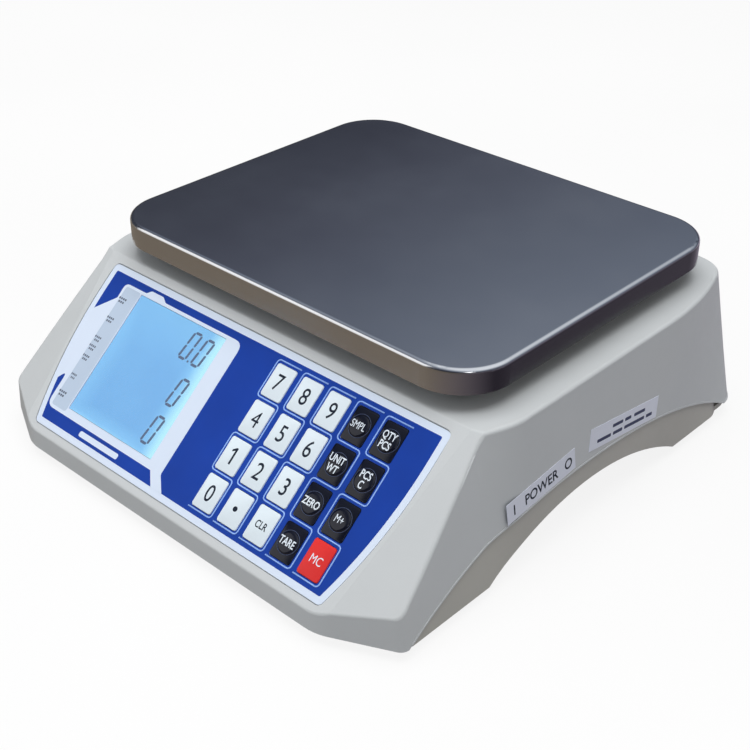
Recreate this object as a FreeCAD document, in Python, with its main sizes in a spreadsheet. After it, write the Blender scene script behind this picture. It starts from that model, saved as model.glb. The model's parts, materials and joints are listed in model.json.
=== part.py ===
"""Counting scale: a parametric FreeCAD document, one object for each physical piece.

The origin lies on the table under the middle of the platter. +Z is up, the control panel
slopes down towards -Y, and +X is the right side for the person at the keys.
Lengths are millimetres and angles are degrees.
"""
import FreeCAD, Part
import Sketcher
import math
import os
import re

Vector = FreeCAD.Vector
doc = FreeCAD.newDocument("CountingScale")

# ---------------------------------------------------------------- driving dimensions
DIMENSIONS = {
    # platter
    "platter_width": 280, "platter_depth": 230, "platter_top": 120, "skirt_height": 14.5,
    "platter_corner": 32, "platter_edge": 2.5, "platter_sheet": 1.2,
    # housing
    "body_width": 321, "body_width_top": 309, "body_bottom": 6.5, "body_top": 94,
    "lip_front": 201.5, "lip_lean": 4.5, "lip_half_width": 119, "corner_setback": 20,
    "corner_run": 41.5, "rear_edge": 130, "rear_edge_top": 127, "wall": 2.6,
    "rim_rise": 1, "rim_out": 0.35, "outer_round": 2,
    # cut corners beside the panel: half widths of the crest and the low outer end
    "crest_half_top": 139.9, "crest_half_bottom": 125, "crest_length": 106.3,
    "facet_side": 159.4, "facet_front": 185, "facet_height": 23,
    # arched lower housing
    "tray_gap": 0.2, "tray_inset": 0.6, "tray_front": 175, "tray_rear_gap": 3.2,
    "arch_front": 116, "arch_crown": 30, "arch_back": 56, "arch_rise": 22,
    # control panel, measured down the slope from the top edge of the printed area
    "panel_front": 120.3, "panel_height": 87.6, "panel_slope": 40.8, "panel_length": 97.3,
    "recess_depth": 1, "overlay_sheet": 0.8, "overlay_border": 4.2, "panel_wall": 3.4,
    "overlay_half": 132.8, "overlay_bend": 281, "overlay_bend_start": 12,
    "overlay_round": 3.6, "recess_gap": 0.4,
    # keys
    "key_width": 14, "key_height": 19.4, "key_pitch": 19.95, "key_row_pitch": 22.96,
    "key_first_column": 23.45, "key_first_row": 14.5, "key_proud": 0.35,
    "key_gap": 0.25, "key_round": 1.6, "dome_radius": 6, "dome_rise": 0.8,
    "flange_top": 3.5, "flange_sheet": 0.8, "plunger_foot": 6.2, "keypad_top": 7.2,
    # display
    "window_left": 100.5, "window_right": 25.2, "window_start": 6.4, "window_end": 85.2,
    "glass_sheet": 2.8, "backlight_sheet": 3.8, "display_margin": 6,
    # feet
    "foot_side": 132, "foot_front": 146, "foot_back": 84, "foot_radius": 14,
    "foot_rubber": 5, "stud_radius": 4, "stud_top": 27,
    # weighing mechanism
    "plate_width": 216, "plate_depth": 150, "plate_bottom": 34, "plate_sheet": 3,
    "plate_screw_side": 52, "plate_screw_depth": 64,
    "cell_length": 130, "cell_width": 30, "cell_height": 22, "cell_end": 30,
    "base_spacer": 5, "cell_clearance": 0.6, "bolt_radius": 3,
    "column_radius": 17, "column_foot": 6, "spider_height": 98, "spider_sheet": 6,
    "arm_side": 112, "arm_depth": 86, "arm_width": 20, "buffer_radius": 9,
    # battery
    "battery_width": 70, "battery_depth": 98, "battery_height": 46, "battery_right": -66,
    "battery_front": 0, "cradle_sheet": 1.5, "cradle_rise": 22,
    # boards
    "board_sheet": 1.6, "main_board_height": 30, "main_board_front": 160,
    "main_board_half": 60, "main_board_depth": 70,
    # power parts under the right side
    "switch_side": 138, "switch_depth": -74, "switch_seat": 29,
    "inlet_side": 138, "inlet_depth": 2, "inlet_seat": 30,
    "rocker_half_width": 4.4, "pivot_rise": 1.5, "pin_radius": 1.2, "pin_end": 1.2, "pin_gap": 0.05,
    # spirit level
    "level_side": 60, "level_depth": -86, "level_radius": 7.95,
    # screws
    "screw_side": 146, "screw_front": -40, "screw_back": 60, "screw_seat": 36,
    "screw_split": 46,
}

sheet = doc.addObject("Spreadsheet::Sheet", "Dimensions")
for row, (alias, value) in enumerate(DIMENSIONS.items(), start=1):
    sheet.set(f"A{row}", alias)
    sheet.set(f"B{row}", str(value))
    sheet.setAlias(f"B{row}", alias)
doc.recompute()

sub_parts = {}


def dim(alias):
    """The value of a dimension, read back from the sheet."""
    return float(sheet.get(alias))


def cell(expression):
    """The same expression with the sheet's names written in full."""
    def full_name(found):
        word = found.group()
        return "Dimensions." + word if word in DIMENSIONS else word
    return re.sub(r"[a-z_]+", full_name, str(expression))


def bind(obj, **expressions):
    """Bind an object's properties to expressions on the sheet."""
    for name, expression in expressions.items():
        obj.setExpression(name, cell(expression))
    return obj


def move(obj, x=0, y=0, z=0):
    """Bind an object's place to expressions on the sheet."""
    for axis, expression in zip("xyz", (x, y, z)):
        obj.setExpression(f".Placement.Base.{axis}", cell(expression))
    return obj


def keep(obj, label):
    """Name a finished sub-part."""
    obj.Label = label
    sub_parts[label] = obj
    return obj


def on_panel(obj):
    """Lay a sub-part, built flat about the panel's top edge, on the sloping panel."""
    obj.Placement = FreeCAD.Placement(Vector(), FreeCAD.Rotation(Vector(1, 0, 0), 30))
    obj.setExpression(".Placement.Rotation.Angle", cell("panel_slope"))
    return move(obj, 0, "-panel_front", "panel_height")


# ---------------------------------------------------------------- primitives and booleans
def box(name, low, size):
    """A box from its lowest corner and its three sizes."""
    made = doc.addObject("Part::Box", name)
    bind(made, Length=size[0], Width=size[1], Height=size[2])
    return move(made, *low)


def cylinder(name, base, radius, height):
    """An upright cylinder from the middle of its base."""
    made = doc.addObject("Part::Cylinder", name)
    bind(made, Radius=radius, Height=height)
    return move(made, *base)


def cross_cylinder(name, start, radius, length):
    """A cylinder that runs along +X from the middle of its first end."""
    made = cylinder(name, start, radius, length)
    made.Placement.Rotation = FreeCAD.Rotation(Vector(0, 1, 0), 90)
    return made


def fuse(name, shapes):
    made = doc.addObject("Part::MultiFuse", name)
    made.Shapes = shapes
    return made


def group(name, shapes):
    """Separate solids held as one sub-part."""
    made = doc.addObject("Part::Compound", name)
    made.Links = shapes
    return made


def cut(name, base, tool):
    made = doc.addObject("Part::Cut", name)
    made.Base = base
    made.Tool = tool
    return made


def feature(label, shape):
    """A sub-part whose shape is worked out here."""
    place = shape.Placement
    made = doc.addObject("Part::Feature", label)
    made.Shape = shape
    made.Placement = place
    return keep(made, label)


# ---------------------------------------------------------------- sketched bodies
def new_body(label):
    return keep(doc.addObject("PartDesign::Body", label), label)


def flat_sketch(body, name, height):
    """A sketch parallel to the body's own XY plane."""
    plane = next(face for face in body.Origin.OriginFeatures if face.Role == "XY_Plane")
    sketch = body.newObject("Sketcher::SketchObject", name)
    sketch.AttachmentSupport = [(plane, "")]
    sketch.MapMode = "FlatFace"
    sketch.setExpression(".AttachmentOffset.Base.z", cell(height))
    return sketch


def tie(sketch, kind, place, expression):
    """Add one sketch constraint and bind its value to the sheet."""
    number = sketch.addConstraint(Sketcher.Constraint(kind, *place))
    sketch.setExpression(f"Constraints[{number}]", cell(expression))


def draw_polygon(sketch, corners):
    """A closed outline whose corners are bound to the sheet."""
    first = sketch.GeometryCount
    count = len(corners)
    turns = [2 * math.pi * k / count for k in range(count)]
    start = [Vector(10 * math.cos(turn), 10 * math.sin(turn), 0) for turn in turns]
    for index in range(count):
        line = Part.LineSegment(start[index], start[(index + 1) % count])
        sketch.addGeometry(line, False)
    for index in range(count):
        following = first + (index + 1) % count
        sketch.addConstraint(Sketcher.Constraint("Coincident", first + index, 2, following, 1))
    for index, (x, y) in enumerate(corners):
        tie(sketch, "DistanceX", (first + index, 1, start[index].x), x)
        tie(sketch, "DistanceY", (first + index, 1, start[index].y), y)


def draw_circle(sketch, x, y, radius):
    """A circle bound to the sheet."""
    number = sketch.addGeometry(Part.Circle(Vector(5, 5, 0), Vector(0, 0, 1), 2), False)
    tie(sketch, "Radius", (number, 2.0), radius)
    tie(sketch, "DistanceX", (number, 3, 5.0), x)
    tie(sketch, "DistanceY", (number, 3, 5.0), y)


def rectangle(left, right, low, high):
    return [(left, low), (right, low), (right, high), (left, high)]


def draw(sketch, outlines):
    """Draw closed outlines: a list is a polygon and a tuple is a circle."""
    for outline in outlines:
        if isinstance(outline, list):
            draw_polygon(sketch, outline)
        else:
            draw_circle(sketch, *outline)


def pad(body, name, base, height, outlines):
    """Add material upwards from a height in the body."""
    sketch = flat_sketch(body, name + "_sketch", base)
    draw(sketch, outlines)
    made = body.newObject("PartDesign::Pad", name)
    made.Profile = sketch
    bind(made, Length=height)
    body.Tip = made
    return made


def pocket(body, name, top, depth, outlines):
    """Take material away downwards from a height, and check that some went."""
    doc.recompute()
    before = body.Shape.Volume
    sketch = flat_sketch(body, name + "_sketch", top)
    draw(sketch, outlines)
    made = body.newObject("PartDesign::Pocket", name)
    made.Profile = sketch
    bind(made, Length=depth)
    body.Tip = made
    doc.recompute()
    if body.Shape.Volume > before - 0.01:
        raise RuntimeError(name + " removed nothing")
    return made


def round_edges(body, name, radius, test):
    """Fillet the body's edges whose end points pass a test."""
    doc.recompute()
    previous = body.Tip
    chosen = []
    for index, edge in enumerate(previous.Shape.Edges, start=1):
        points = [vertex.Point for vertex in edge.Vertexes]
        if test(points):
            chosen.append(f"Edge{index}")
    made = body.newObject("PartDesign::Fillet", name)
    made.Base = (previous, chosen)
    bind(made, Radius=radius)
    body.Tip = made
    return made


def upright(points):
    """True for an edge that runs straight up."""
    if len(points) != 2:
        return False
    apart = points[0] - points[1]
    return abs(apart.x) + abs(apart.y) < 1e-6


def level_at(height):
    """A test for an edge that lies at one height."""
    return lambda points: all(abs(point.z - height) < 1e-4 for point in points)


# ---------------------------------------------------------------- housing surfaces
slope = math.radians(dim("panel_slope"))
panel_edge = Vector(0, -dim("panel_front"), dim("panel_height"))
down_slope = Vector(0, -math.cos(slope), -math.sin(slope))
panel_normal = Vector(0, -math.sin(slope), math.cos(slope))
panel_frame = FreeCAD.Placement(panel_edge, FreeCAD.Rotation(Vector(1, 0, 0), dim("panel_slope")))
BIG = 700


def panel_point(across, down, out=0):
    """A point from its place on the panel."""
    return panel_edge + Vector(across, 0, 0) + down_slope * down + panel_normal * out


def facet_plane(side):
    """A point and the outward normal of a cut corner, on the right (+1) or the left (-1)."""
    high = panel_point(side * dim("crest_half_top"), 0)
    low = panel_point(side * dim("crest_half_bottom"), dim("crest_length"))
    outer = Vector(side * dim("facet_side"), -dim("facet_front"), dim("facet_height"))
    normal = (low - high).cross(outer - high) * side
    return high, normal.normalize()


def beyond(point, normal):
    """A large block that fills the space beyond a plane."""
    block = Part.makeBox(BIG, BIG, BIG, Vector(-BIG / 2, -BIG / 2, 0))
    block.Placement = FreeCAD.Placement(point, FreeCAD.Rotation(Vector(0, 0, 1), normal))
    return block


def bezier(points, height):
    curve = Part.BezierCurve()
    curve.setPoles([Vector(x, y, height) for x, y in points])
    return curve.toShape()


def plan(inset, top, rear_gap=0, rear_round=0):
    """The closed outline of the housing at its bottom or its top, drawn in by inset."""
    lean = dim("lip_lean") if top else 0
    half = (dim("body_width_top") if top else dim("body_width")) / 2 - inset
    rear = (dim("rear_edge_top") if top else dim("rear_edge")) - inset - rear_gap
    front = -dim("lip_front") + lean + inset
    height = dim("body_top") if top else dim("body_bottom")
    along = Vector(dim("corner_run"), dim("corner_setback"), 0).normalize()
    lip = (dim("lip_half_width") - 0.228 * inset, front)
    cheek = half - (4.5 if top else 0)
    corner = (cheek, front + (cheek - lip[0]) * along.y / along.x)
    waist = half - (7.5 if top else 0)
    taper = 11.5 if top else 0
    turn = 22 if top else 0

    def offset(point, distance):
        return (point[0] + along.x * distance, point[1] + along.y * distance)

    bend = (half - taper, 112 - rear_round)
    right = [
        [(lip[0] - 7, front), lip, offset(lip, 7)],
        [offset(lip, 7), offset(corner, -4)],
        [offset(corner, -4), corner, (cheek, corner[1] + 4)],
        [(cheek, corner[1] + 4), (waist, -118)],
        [(waist, -118), (waist, -108), (half, -100), (half, -86)],
        [(half, -86), (half, 45)],
        [(half, 45), (half, 80), bend],
        [bend, (half - 1.3 * taper, bend[1] + 10), (half - 6 - 0.8 * turn - rear_round / 2, rear),
         (half - 16 - turn - rear_round, rear)],
    ]
    left = [[(-x, y) for x, y in reversed(piece)] for piece in reversed(right)]
    rear_line = [right[-1][-1], left[0][0]]
    front_line = [left[-1][-1], right[0][0]]
    pieces = right + [rear_line] + left + [front_line]
    return Part.Wire([bezier(piece, height) for piece in pieces])


def loft_block(inset, rear_gap=0, rear_round=0):
    """The drafted block between the bottom outline and the top outline."""
    bottom = plan(inset, False, rear_gap, rear_round)
    top = plan(inset, True, rear_gap, rear_round)
    return Part.makeLoft([bottom, top], True, True)


def sculpt(block, wall, panel_wall):
    """Cut the panel slope and the two corner facets, each set in by its wall."""
    block = block.cut(beyond(panel_edge - panel_normal * panel_wall, panel_normal))
    for side in (1, -1):
        point, normal = facet_plane(side)
        block = block.cut(beyond(point - normal * wall, normal))
    return block


def planes_of_top():
    """The planes that bound the sculpted top of the housing."""
    planes = [(panel_edge, panel_normal), (Vector(0, 0, dim("body_top")), Vector(0, 0, 1))]
    return planes + [facet_plane(1), facet_plane(-1)]


def top_edges(solid):
    """Every edge of the solid that lies in one of the top's planes."""
    chosen = []
    for edge in solid.Edges:
        middle = edge.valueAt((edge.FirstParameter + edge.LastParameter) / 2)
        points = [vertex.Point for vertex in edge.Vertexes] + [middle]
        for origin, normal in planes_of_top():
            if all(abs((point - origin).dot(normal)) < 1e-3 for point in points):
                chosen.append(edge)
                break
    return chosen


def profile_prism(edges):
    """A solid of a closed outline in the YZ plane, run the whole width of the body."""
    face = Part.Face(Part.Wire(edges))
    face.translate(Vector(-BIG / 2, 0, 0))
    return face.extrude(Vector(BIG, 0, 0))


def side_point(y, z):
    return Vector(0, y, z)


def parting_prism(rise):
    """The space below the line where the two housings meet, raised by rise."""
    bottom = dim("body_bottom")
    points = [(-178, bottom), (-125, 29.3), (-24, 41), (60, 30.6), (113, 10)]
    places = [side_point(y, z + rise) for y, z in points]
    curve = Part.BSplineCurve()
    curve.interpolate(places)
    end = side_point(BIG / 2, places[-1].z)
    lowest = -50
    edges = [curve.toShape(), Part.makeLine(places[-1], end),
             Part.makeLine(end, side_point(BIG / 2, lowest)),
             Part.makeLine(side_point(BIG / 2, lowest), side_point(places[0].y, lowest)),
             Part.makeLine(side_point(places[0].y, lowest), places[0])]
    return profile_prism(edges)


def arch_prism(rise):
    """The space above the arched underside, raised by rise."""
    floor = dim("body_bottom") + rise
    crown = side_point(-dim("arch_crown"), floor + dim("arch_rise"))
    spring_front = side_point(-dim("arch_front"), floor)
    spring_back = side_point(dim("arch_back"), floor)
    corners = [side_point(BIG / 2, floor), side_point(BIG / 2, BIG),
               side_point(-BIG / 2, BIG), side_point(-BIG / 2, floor), spring_front]
    edges = [Part.Arc(spring_front, crown, spring_back).toShape(),
             Part.makeLine(spring_back, corners[0])]
    for first, second in zip(corners, corners[1:]):
        edges.append(Part.makeLine(first, second))
    return profile_prism(edges)


def round_post(x, y, low, high, radius):
    return Part.makeCylinder(radius, high - low, Vector(x, y, low))


# ---------------------------------------------------------------- upper housing
def key_centres():
    """Row, column and place of each key, from the top left of the keypad."""
    for row in range(4):
        for column in range(5):
            x = dim("key_first_column") + column * dim("key_pitch")
            down = dim("key_first_row") + row * dim("key_row_pitch")
            yield row, column, x, down


def panel_block(left, right, start, end, low, high):
    """A block on the panel, between two depths along its normal."""
    block = Part.makeBox(right - left, end - start, high - low, Vector(left, -end, low))
    block.Placement = panel_frame.multiply(block.Placement)
    return block


def recess_block():
    """The shallow seat of the printed overlay, whose sides bend in towards the front."""
    gap = dim("recess_gap")
    half = dim("overlay_half") + gap
    border = dim("overlay_border") + gap
    height = 10
    block = Part.makeBox(2 * half, dim("panel_length") + 2 * border, height,
                         Vector(-half, -dim("panel_length") - border, 0))
    for side in (1, -1):
        middle = Vector(side * (dim("overlay_half") - dim("overlay_bend")),
                        -dim("overlay_bend_start"), 0)
        block = block.common(Part.makeCylinder(dim("overlay_bend") + gap, height, middle))
    standing = [edge for edge in block.Edges if upright([v.Point for v in edge.Vertexes])]
    corners = [edge for edge in standing if abs(edge.Vertexes[0].Y) > dim("overlay_bend_start")
               or edge.Vertexes[0].Y > 0]
    block = block.makeFillet(dim("overlay_round") + gap, corners)
    block.translate(Vector(0, 0, -dim("recess_depth")))
    block.Placement = panel_frame.multiply(block.Placement)
    return block


def housing_screw_places():
    for side in (1, -1):
        for y in (dim("screw_front"), dim("screw_back")):
            yield side * dim("screw_side"), y


def upper_housing():
    wall = dim("wall")
    outer = sculpt(loft_block(0), 0, 0)
    outer = outer.makeFillet(dim("outer_round"), top_edges(outer))
    inner = sculpt(loft_block(wall), wall, dim("panel_wall"))
    inner = inner.cut(Part.makeBox(BIG, BIG, BIG, Vector(-BIG / 2, -BIG / 2, dim("body_top") - wall)))
    below = Part.makeBox(BIG, BIG, 50, Vector(-BIG / 2, -BIG / 2, dim("body_bottom") - 50))
    shell = outer.cut(inner)
    rim_band = parting_prism(dim("rim_rise")).cut(parting_prism(0))
    rim = loft_block(-dim("rim_out")).common(rim_band).cut(inner)
    shell = shell.fuse(rim.cut(beyond(Vector(0, -176, 0), Vector(0, -1, 0))))
    for x, y in housing_screw_places():
        boss = round_post(x, y, dim("screw_split"), dim("body_top") - wall + 0.5, 6)
        shell = shell.fuse(boss)
    shell = shell.cut(recess_block())
    openings = [panel_block(-dim("window_left"), -dim("window_right"), dim("window_start"),
                            dim("window_end"), -9, 9)]
    slack = 2 * dim("key_gap")
    for _, _, x, down in key_centres():
        half_width = dim("key_width") / 2 + slack
        half_height = dim("key_height") / 2 + slack
        openings.append(panel_block(x - half_width, x + half_width, down - half_height,
                                    down + half_height, -9, 9))
    openings.append(round_post(0, dim("cell_length") / 2 - dim("cell_end") / 2, 80, 100,
                               dim("column_radius") + 6))
    openings.append(round_post(dim("level_side"), dim("level_depth"), 85, 100,
                               dim("level_radius") + 0.05))
    for x, y in housing_screw_places():
        openings.append(round_post(x, y, dim("screw_split") - 1, 62, 1.6))
    shell = shell.cut(openings)
    shell = shell.cut(parting_prism(0)).cut(below)
    return shell.removeSplitter()


feature("upper_housing", upper_housing())


# ---------------------------------------------------------------- lower housing
def foot_places():
    for side, side_name in ((-1, "left"), (1, "right")):
        for y, end_name in ((-dim("foot_front"), "front"), (dim("foot_back"), "rear")):
            yield side * dim("foot_side"), y, f"foot_{end_name}_{side_name}"


def corner_places(half_width, low, high):
    for x in (-half_width, half_width):
        for y in (low, high):
            yield x, y


def main_board_screw_places():
    front = -dim("main_board_front") + 6
    return corner_places(dim("main_board_half") - 6, front, front + dim("main_board_depth") - 12)


def plate_screw_places():
    return corner_places(dim("plate_screw_side"), -dim("plate_screw_depth"),
                         dim("plate_screw_depth"))


def side_pocket(x, y, half_x, half_y, seat):
    """A downward-facing pocket for a part that is pushed in from below: walls and opening."""
    wall = dim("wall")
    walls = Part.makeBox(2 * (half_x + wall), 2 * (half_y + wall), 40,
                         Vector(x - half_x - wall, y - half_y - wall, seat + wall - 40))
    opening = Part.makeBox(2 * half_x, 2 * half_y, 60, Vector(x - half_x, y - half_y, seat - 60))
    return walls, opening


def lower_housing():
    wall = dim("wall")
    inset = dim("tray_inset")
    rear_gap = dim("tray_rear_gap")
    above_arch = arch_prism(0)
    front_limit = beyond(Vector(0, -dim("tray_front"), 0), Vector(0, -1, 0))
    outer = loft_block(inset, rear_gap, 14).common(above_arch)
    outer = outer.common(parting_prism(-dim("tray_gap"))).cut(front_limit)
    inner_front = beyond(Vector(0, -dim("tray_front") + wall, 0), Vector(0, -1, 0))
    inner = loft_block(inset + wall, rear_gap, 14).common(arch_prism(wall)).cut(inner_front)
    tray = outer.cut(inner)
    bottom = dim("body_bottom")
    floor_slab = Part.makeBox(BIG, BIG, wall, Vector(-BIG / 2, -BIG / 2, bottom))
    tray = tray.fuse(loft_block(wall + 0.4).common(floor_slab).common(above_arch))
    posts = []
    for x, y, _ in foot_places():
        posts.append(round_post(x, y, bottom, 22, 9))
    for x, y in housing_screw_places():
        posts.append(round_post(x, y, bottom, dim("screw_split") - 0.1, 6))
    for x, y in main_board_screw_places():
        posts.append(round_post(x, y, bottom, dim("main_board_height"), 4))
    for x, y in plate_screw_places():
        posts.append(round_post(x, y, bottom, dim("plate_bottom"), 6))
    cradle_height = dim("plate_bottom") + dim("plate_sheet")
    for y in (12, 86):
        posts.append(round_post(dim("battery_right") - dim("battery_width") + 7, y, bottom,
                                cradle_height, 5))
    holes = []
    for x, y, half_x, half_y, seat, hole_x, hole_y in (
            (dim("switch_side"), dim("switch_depth"), 12, 16, dim("switch_seat"), 6.3, 10),
            (dim("inlet_side"), dim("inlet_depth"), 14, 17, dim("inlet_seat"), 9.3, 13)):
        walls, opening = side_pocket(x, y, half_x, half_y, seat)
        posts.append(walls)
        holes.append(opening)
        holes.append(Part.makeBox(2 * hole_x, 2 * hole_y, 40, Vector(x - hole_x, y - hole_y, seat - 1)))
    for post in posts:
        tray = tray.fuse(post.common(above_arch))
    for x, y, _ in foot_places():
        holes.append(round_post(x, y, 0, 40, dim("stud_radius") + 0.25))
    for x, y in housing_screw_places():
        holes.append(round_post(x, y, 0, dim("screw_seat"), 4))
        holes.append(round_post(x, y, 0, 60, 2.1))
    for x, y in main_board_screw_places():
        holes.append(round_post(x, y, dim("main_board_height") - 10, 60, 1.4))
    for x, y in plate_screw_places():
        holes.append(round_post(x, y, dim("plate_bottom") - 14, 60, 2.5))
    return tray.cut(holes).removeSplitter()


feature("lower_housing", lower_housing())

# ---------------------------------------------------------------- printed overlay
OVERLAY_LOW = "-recess_depth"
sheet_block = box("overlay_block", ("-overlay_half", "-panel_length - overlay_border", OVERLAY_LOW),
                  ("2 * overlay_half", "panel_length + 2 * overlay_border", "overlay_sheet"))
side_curves = [cylinder(f"overlay_side_{number}", (f"{sign}(overlay_half - overlay_bend)",
                        "-overlay_bend_start", OVERLAY_LOW), "overlay_bend", "overlay_sheet")
               for number, sign in enumerate(("", "-"))]
curved_sheet = doc.addObject("Part::MultiCommon", "overlay_curved_sheet")
curved_sheet.Shapes = [sheet_block] + side_curves
doc.recompute()
rounded_sheet = doc.addObject("Part::Fillet", "overlay_rounded_sheet")
rounded_sheet.Base = curved_sheet
rounded_sheet.Edges = [(index, dim("overlay_round"), dim("overlay_round"))
                       for index, edge in enumerate(curved_sheet.Shape.Edges, start=1)
                       if upright([vertex.Point for vertex in edge.Vertexes])]


def key_opening(row, column, slack):
    """The outline around a key, on the panel, with a slack on every side."""
    middle = f"key_first_column + {column} * key_pitch"
    down = f"key_first_row + {row} * key_row_pitch"
    return rectangle(f"{middle} - key_width / 2 - ({slack})", f"{middle} + key_width / 2 + ({slack})",
                     f"-({down}) - key_height / 2 - ({slack})",
                     f"-({down}) + key_height / 2 + ({slack})")


def opening_block(name, outline):
    """A block that cuts a rectangular outline through the overlay."""
    (left, low), _, (right, high), _ = outline
    return box(name, (left, low, -2), (f"{right} - ({left})", f"{high} - ({low})", 3))


openings = [opening_block(f"overlay_opening_{row}_{column}", key_opening(row, column, "key_gap"))
            for row, column, _, _ in key_centres()]
openings.append(opening_block("overlay_window_opening", rectangle(
    "-window_left", "-window_right", "-window_end", "-window_start")))
overlay_holes = group("overlay_openings", openings)
on_panel(keep(group("front_overlay", [cut("overlay_cut_sheet", rounded_sheet, overlay_holes)]),
              "front_overlay"))

# ---------------------------------------------------------------- display
window = on_panel(new_body("display_window"))
pad(window, "window_pad", "-panel_wall", "panel_wall - 0.4", [rectangle(
    "-window_left + 0.1", "-window_right - 0.1", "-window_end + 0.1", "-window_start - 0.1")])

glass = on_panel(new_body("display_glass"))
pad(glass, "glass_pad", "-panel_wall - glass_sheet - 0.2", "glass_sheet", [rectangle(
    "-window_left - 4", "-window_right + 4", "-window_end - 4", "-window_start + 4")])

BACKLIGHT_LOW = "-panel_wall - glass_sheet - backlight_sheet - 0.3"
backlight = on_panel(new_body("display_backlight"))
pad(backlight, "backlight_pad", BACKLIGHT_LOW, "backlight_sheet", [rectangle(
    "-window_left - 4", "-window_right + 4", "-window_end - 4", "-window_start + 4")])

frame_outline = rectangle("-window_left - 4 - display_margin", "-window_right + 4 + display_margin",
                          "-window_end - 4 - display_margin", "-window_start + 4 + display_margin")
display_frame = on_panel(new_body("display_frame"))
pad(display_frame, "frame_pad", BACKLIGHT_LOW, "glass_sheet + backlight_sheet + 0.3",
    [frame_outline])
pocket(display_frame, "frame_seat", "-panel_wall", "glass_sheet + backlight_sheet + 1", [rectangle(
    "-window_left - 4.3", "-window_right + 4.3", "-window_end - 4.3", "-window_start + 4.3")])

display_board = on_panel(new_body("display_board"))
pad(display_board, "display_board_pad", BACKLIGHT_LOW + " - board_sheet - 0.1", "board_sheet",
    [frame_outline])

# ---------------------------------------------------------------- keys
KEY_NAMES = [
    ["key_7", "key_8", "key_9", "key_sample", "key_quantity"],
    ["key_4", "key_5", "key_6", "key_unit_weight", "key_piece_count"],
    ["key_1", "key_2", "key_3", "key_zero", "key_memory_add"],
    ["key_0", "key_point", "key_clear", "key_tare", "key_memory_clear"],
]
FLAT_KEYS = 3


def make_key(row, column):
    """A key cap with a retaining flange and a plunger; function keys carry a low dome."""
    label = KEY_NAMES[row][column]
    middle = f"key_first_column + {column} * key_pitch"
    down = f"-(key_first_row + {row} * key_row_pitch)"
    key = on_panel(new_body(label))
    pad(key, label + "_cap", "-flange_top", "flange_top + key_proud",
        [key_opening(row, column, 0)])
    round_edges(key, label + "_corners", "key_round", upright)
    doc.recompute()
    round_edges(key, label + "_edge", 0.25, level_at(dim("key_proud")))
    pad(key, label + "_flange", "-flange_top - flange_sheet", "flange_sheet",
        [key_opening(row, column, 1)])
    pad(key, label + "_plunger", "-plunger_foot", "plunger_foot - flange_top - flange_sheet / 2",
        [(middle, down, 2)])
    if column >= FLAT_KEYS and label != "key_memory_clear":
        top = dim("key_proud") + dim("dome_rise")
        pad(key, label + "_dome", "key_proud - 0.1", "dome_rise + 0.1",
            [(middle, down, "dome_radius")])
        round_edges(key, label + "_dome_edge", "dome_rise - 0.05", level_at(top))


for key_row, key_column, _, _ in key_centres():
    make_key(key_row, key_column)

keypad_board = on_panel(new_body("keypad_board"))
pad(keypad_board, "keypad_board_pad", "-keypad_top - board_sheet", "board_sheet", [rectangle(
    "key_first_column - key_width / 2 - 8", "key_first_column + 4 * key_pitch + key_width / 2 + 6",
    "-(key_first_row + 3 * key_row_pitch) - key_height / 2 - 3",
    "-key_first_row + key_height / 2 + 3")])

dome_tools = []
for key_row, key_column, _, _ in key_centres():
    dome_tools.append(cylinder(
        f"snap_dome_{key_row}_{key_column}",
        (f"key_first_column + {key_column} * key_pitch",
         f"-(key_first_row + {key_row} * key_row_pitch)", "-keypad_top"), 4, 0.3))
on_panel(keep(group("snap_domes", dome_tools), "snap_domes"))

# ---------------------------------------------------------------- platter
platter = new_body("platter")
pad(platter, "platter_pad", "platter_top - skirt_height", "skirt_height", [rectangle(
    "-platter_width / 2", "platter_width / 2", "-platter_depth / 2", "platter_depth / 2")])
round_edges(platter, "platter_corners", "platter_corner", upright)
doc.recompute()
round_edges(platter, "platter_bend", "platter_edge", level_at(dim("platter_top")))
doc.recompute()
solid_tip = platter.Tip
skirt_low = dim("platter_top") - dim("skirt_height")
open_face = next(f"Face{index}" for index, face in enumerate(solid_tip.Shape.Faces, start=1)
                 if abs(face.CenterOfMass.z - skirt_low) < 1e-4)
hollow = platter.newObject("PartDesign::Thickness", "platter_hollow")
hollow.Base = (solid_tip, [open_face])
hollow.Reversed = True
bind(hollow, Value="platter_sheet")
platter.Tip = hollow

# ---------------------------------------------------------------- pan support
CELL_TOP = "plate_bottom + plate_sheet + base_spacer + cell_height"
COLUMN_Y = "cell_length / 2 - cell_end / 2"
COLUMN_LOW = CELL_TOP + " + cell_clearance"
BOLT_PLACES = [f"{COLUMN_Y} - 7", f"{COLUMN_Y} + 7"]

pan_support = new_body("pan_support")
pad(pan_support, "support_column", COLUMN_LOW, f"spider_height - ({COLUMN_LOW})",
    [(0, COLUMN_Y, "column_radius")])
pad(pan_support, "support_spine", "spider_height", "spider_sheet", [rectangle(
    "-column_radius - 5", "column_radius + 5", "-arm_depth", "arm_depth")])
for end_sign, end_name in (("-", "front"), ("", "rear")):
    low = f"{end_sign}arm_depth - arm_width / 2"
    pad(pan_support, f"support_arm_{end_name}", "spider_height", "spider_sheet", [rectangle(
        "-arm_side - arm_width / 2", "arm_side + arm_width / 2", low, low + " + arm_width")])
round_edges(pan_support, "support_rounds", 4, lambda points: upright(points)
            and abs(points[0].x) > dim("arm_side"))
pocket(pan_support, "support_bolt_seats", "spider_height + spider_sheet",
       f"spider_height + spider_sheet - ({COLUMN_LOW}) - column_foot",
       [(0, place, "bolt_radius + 2.8") for place in BOLT_PLACES])
pocket(pan_support, "support_bolt_holes", f"{COLUMN_LOW} + column_foot + 1", "column_foot + 2",
       [(0, place, "bolt_radius + 0.3") for place in BOLT_PLACES])

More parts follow.
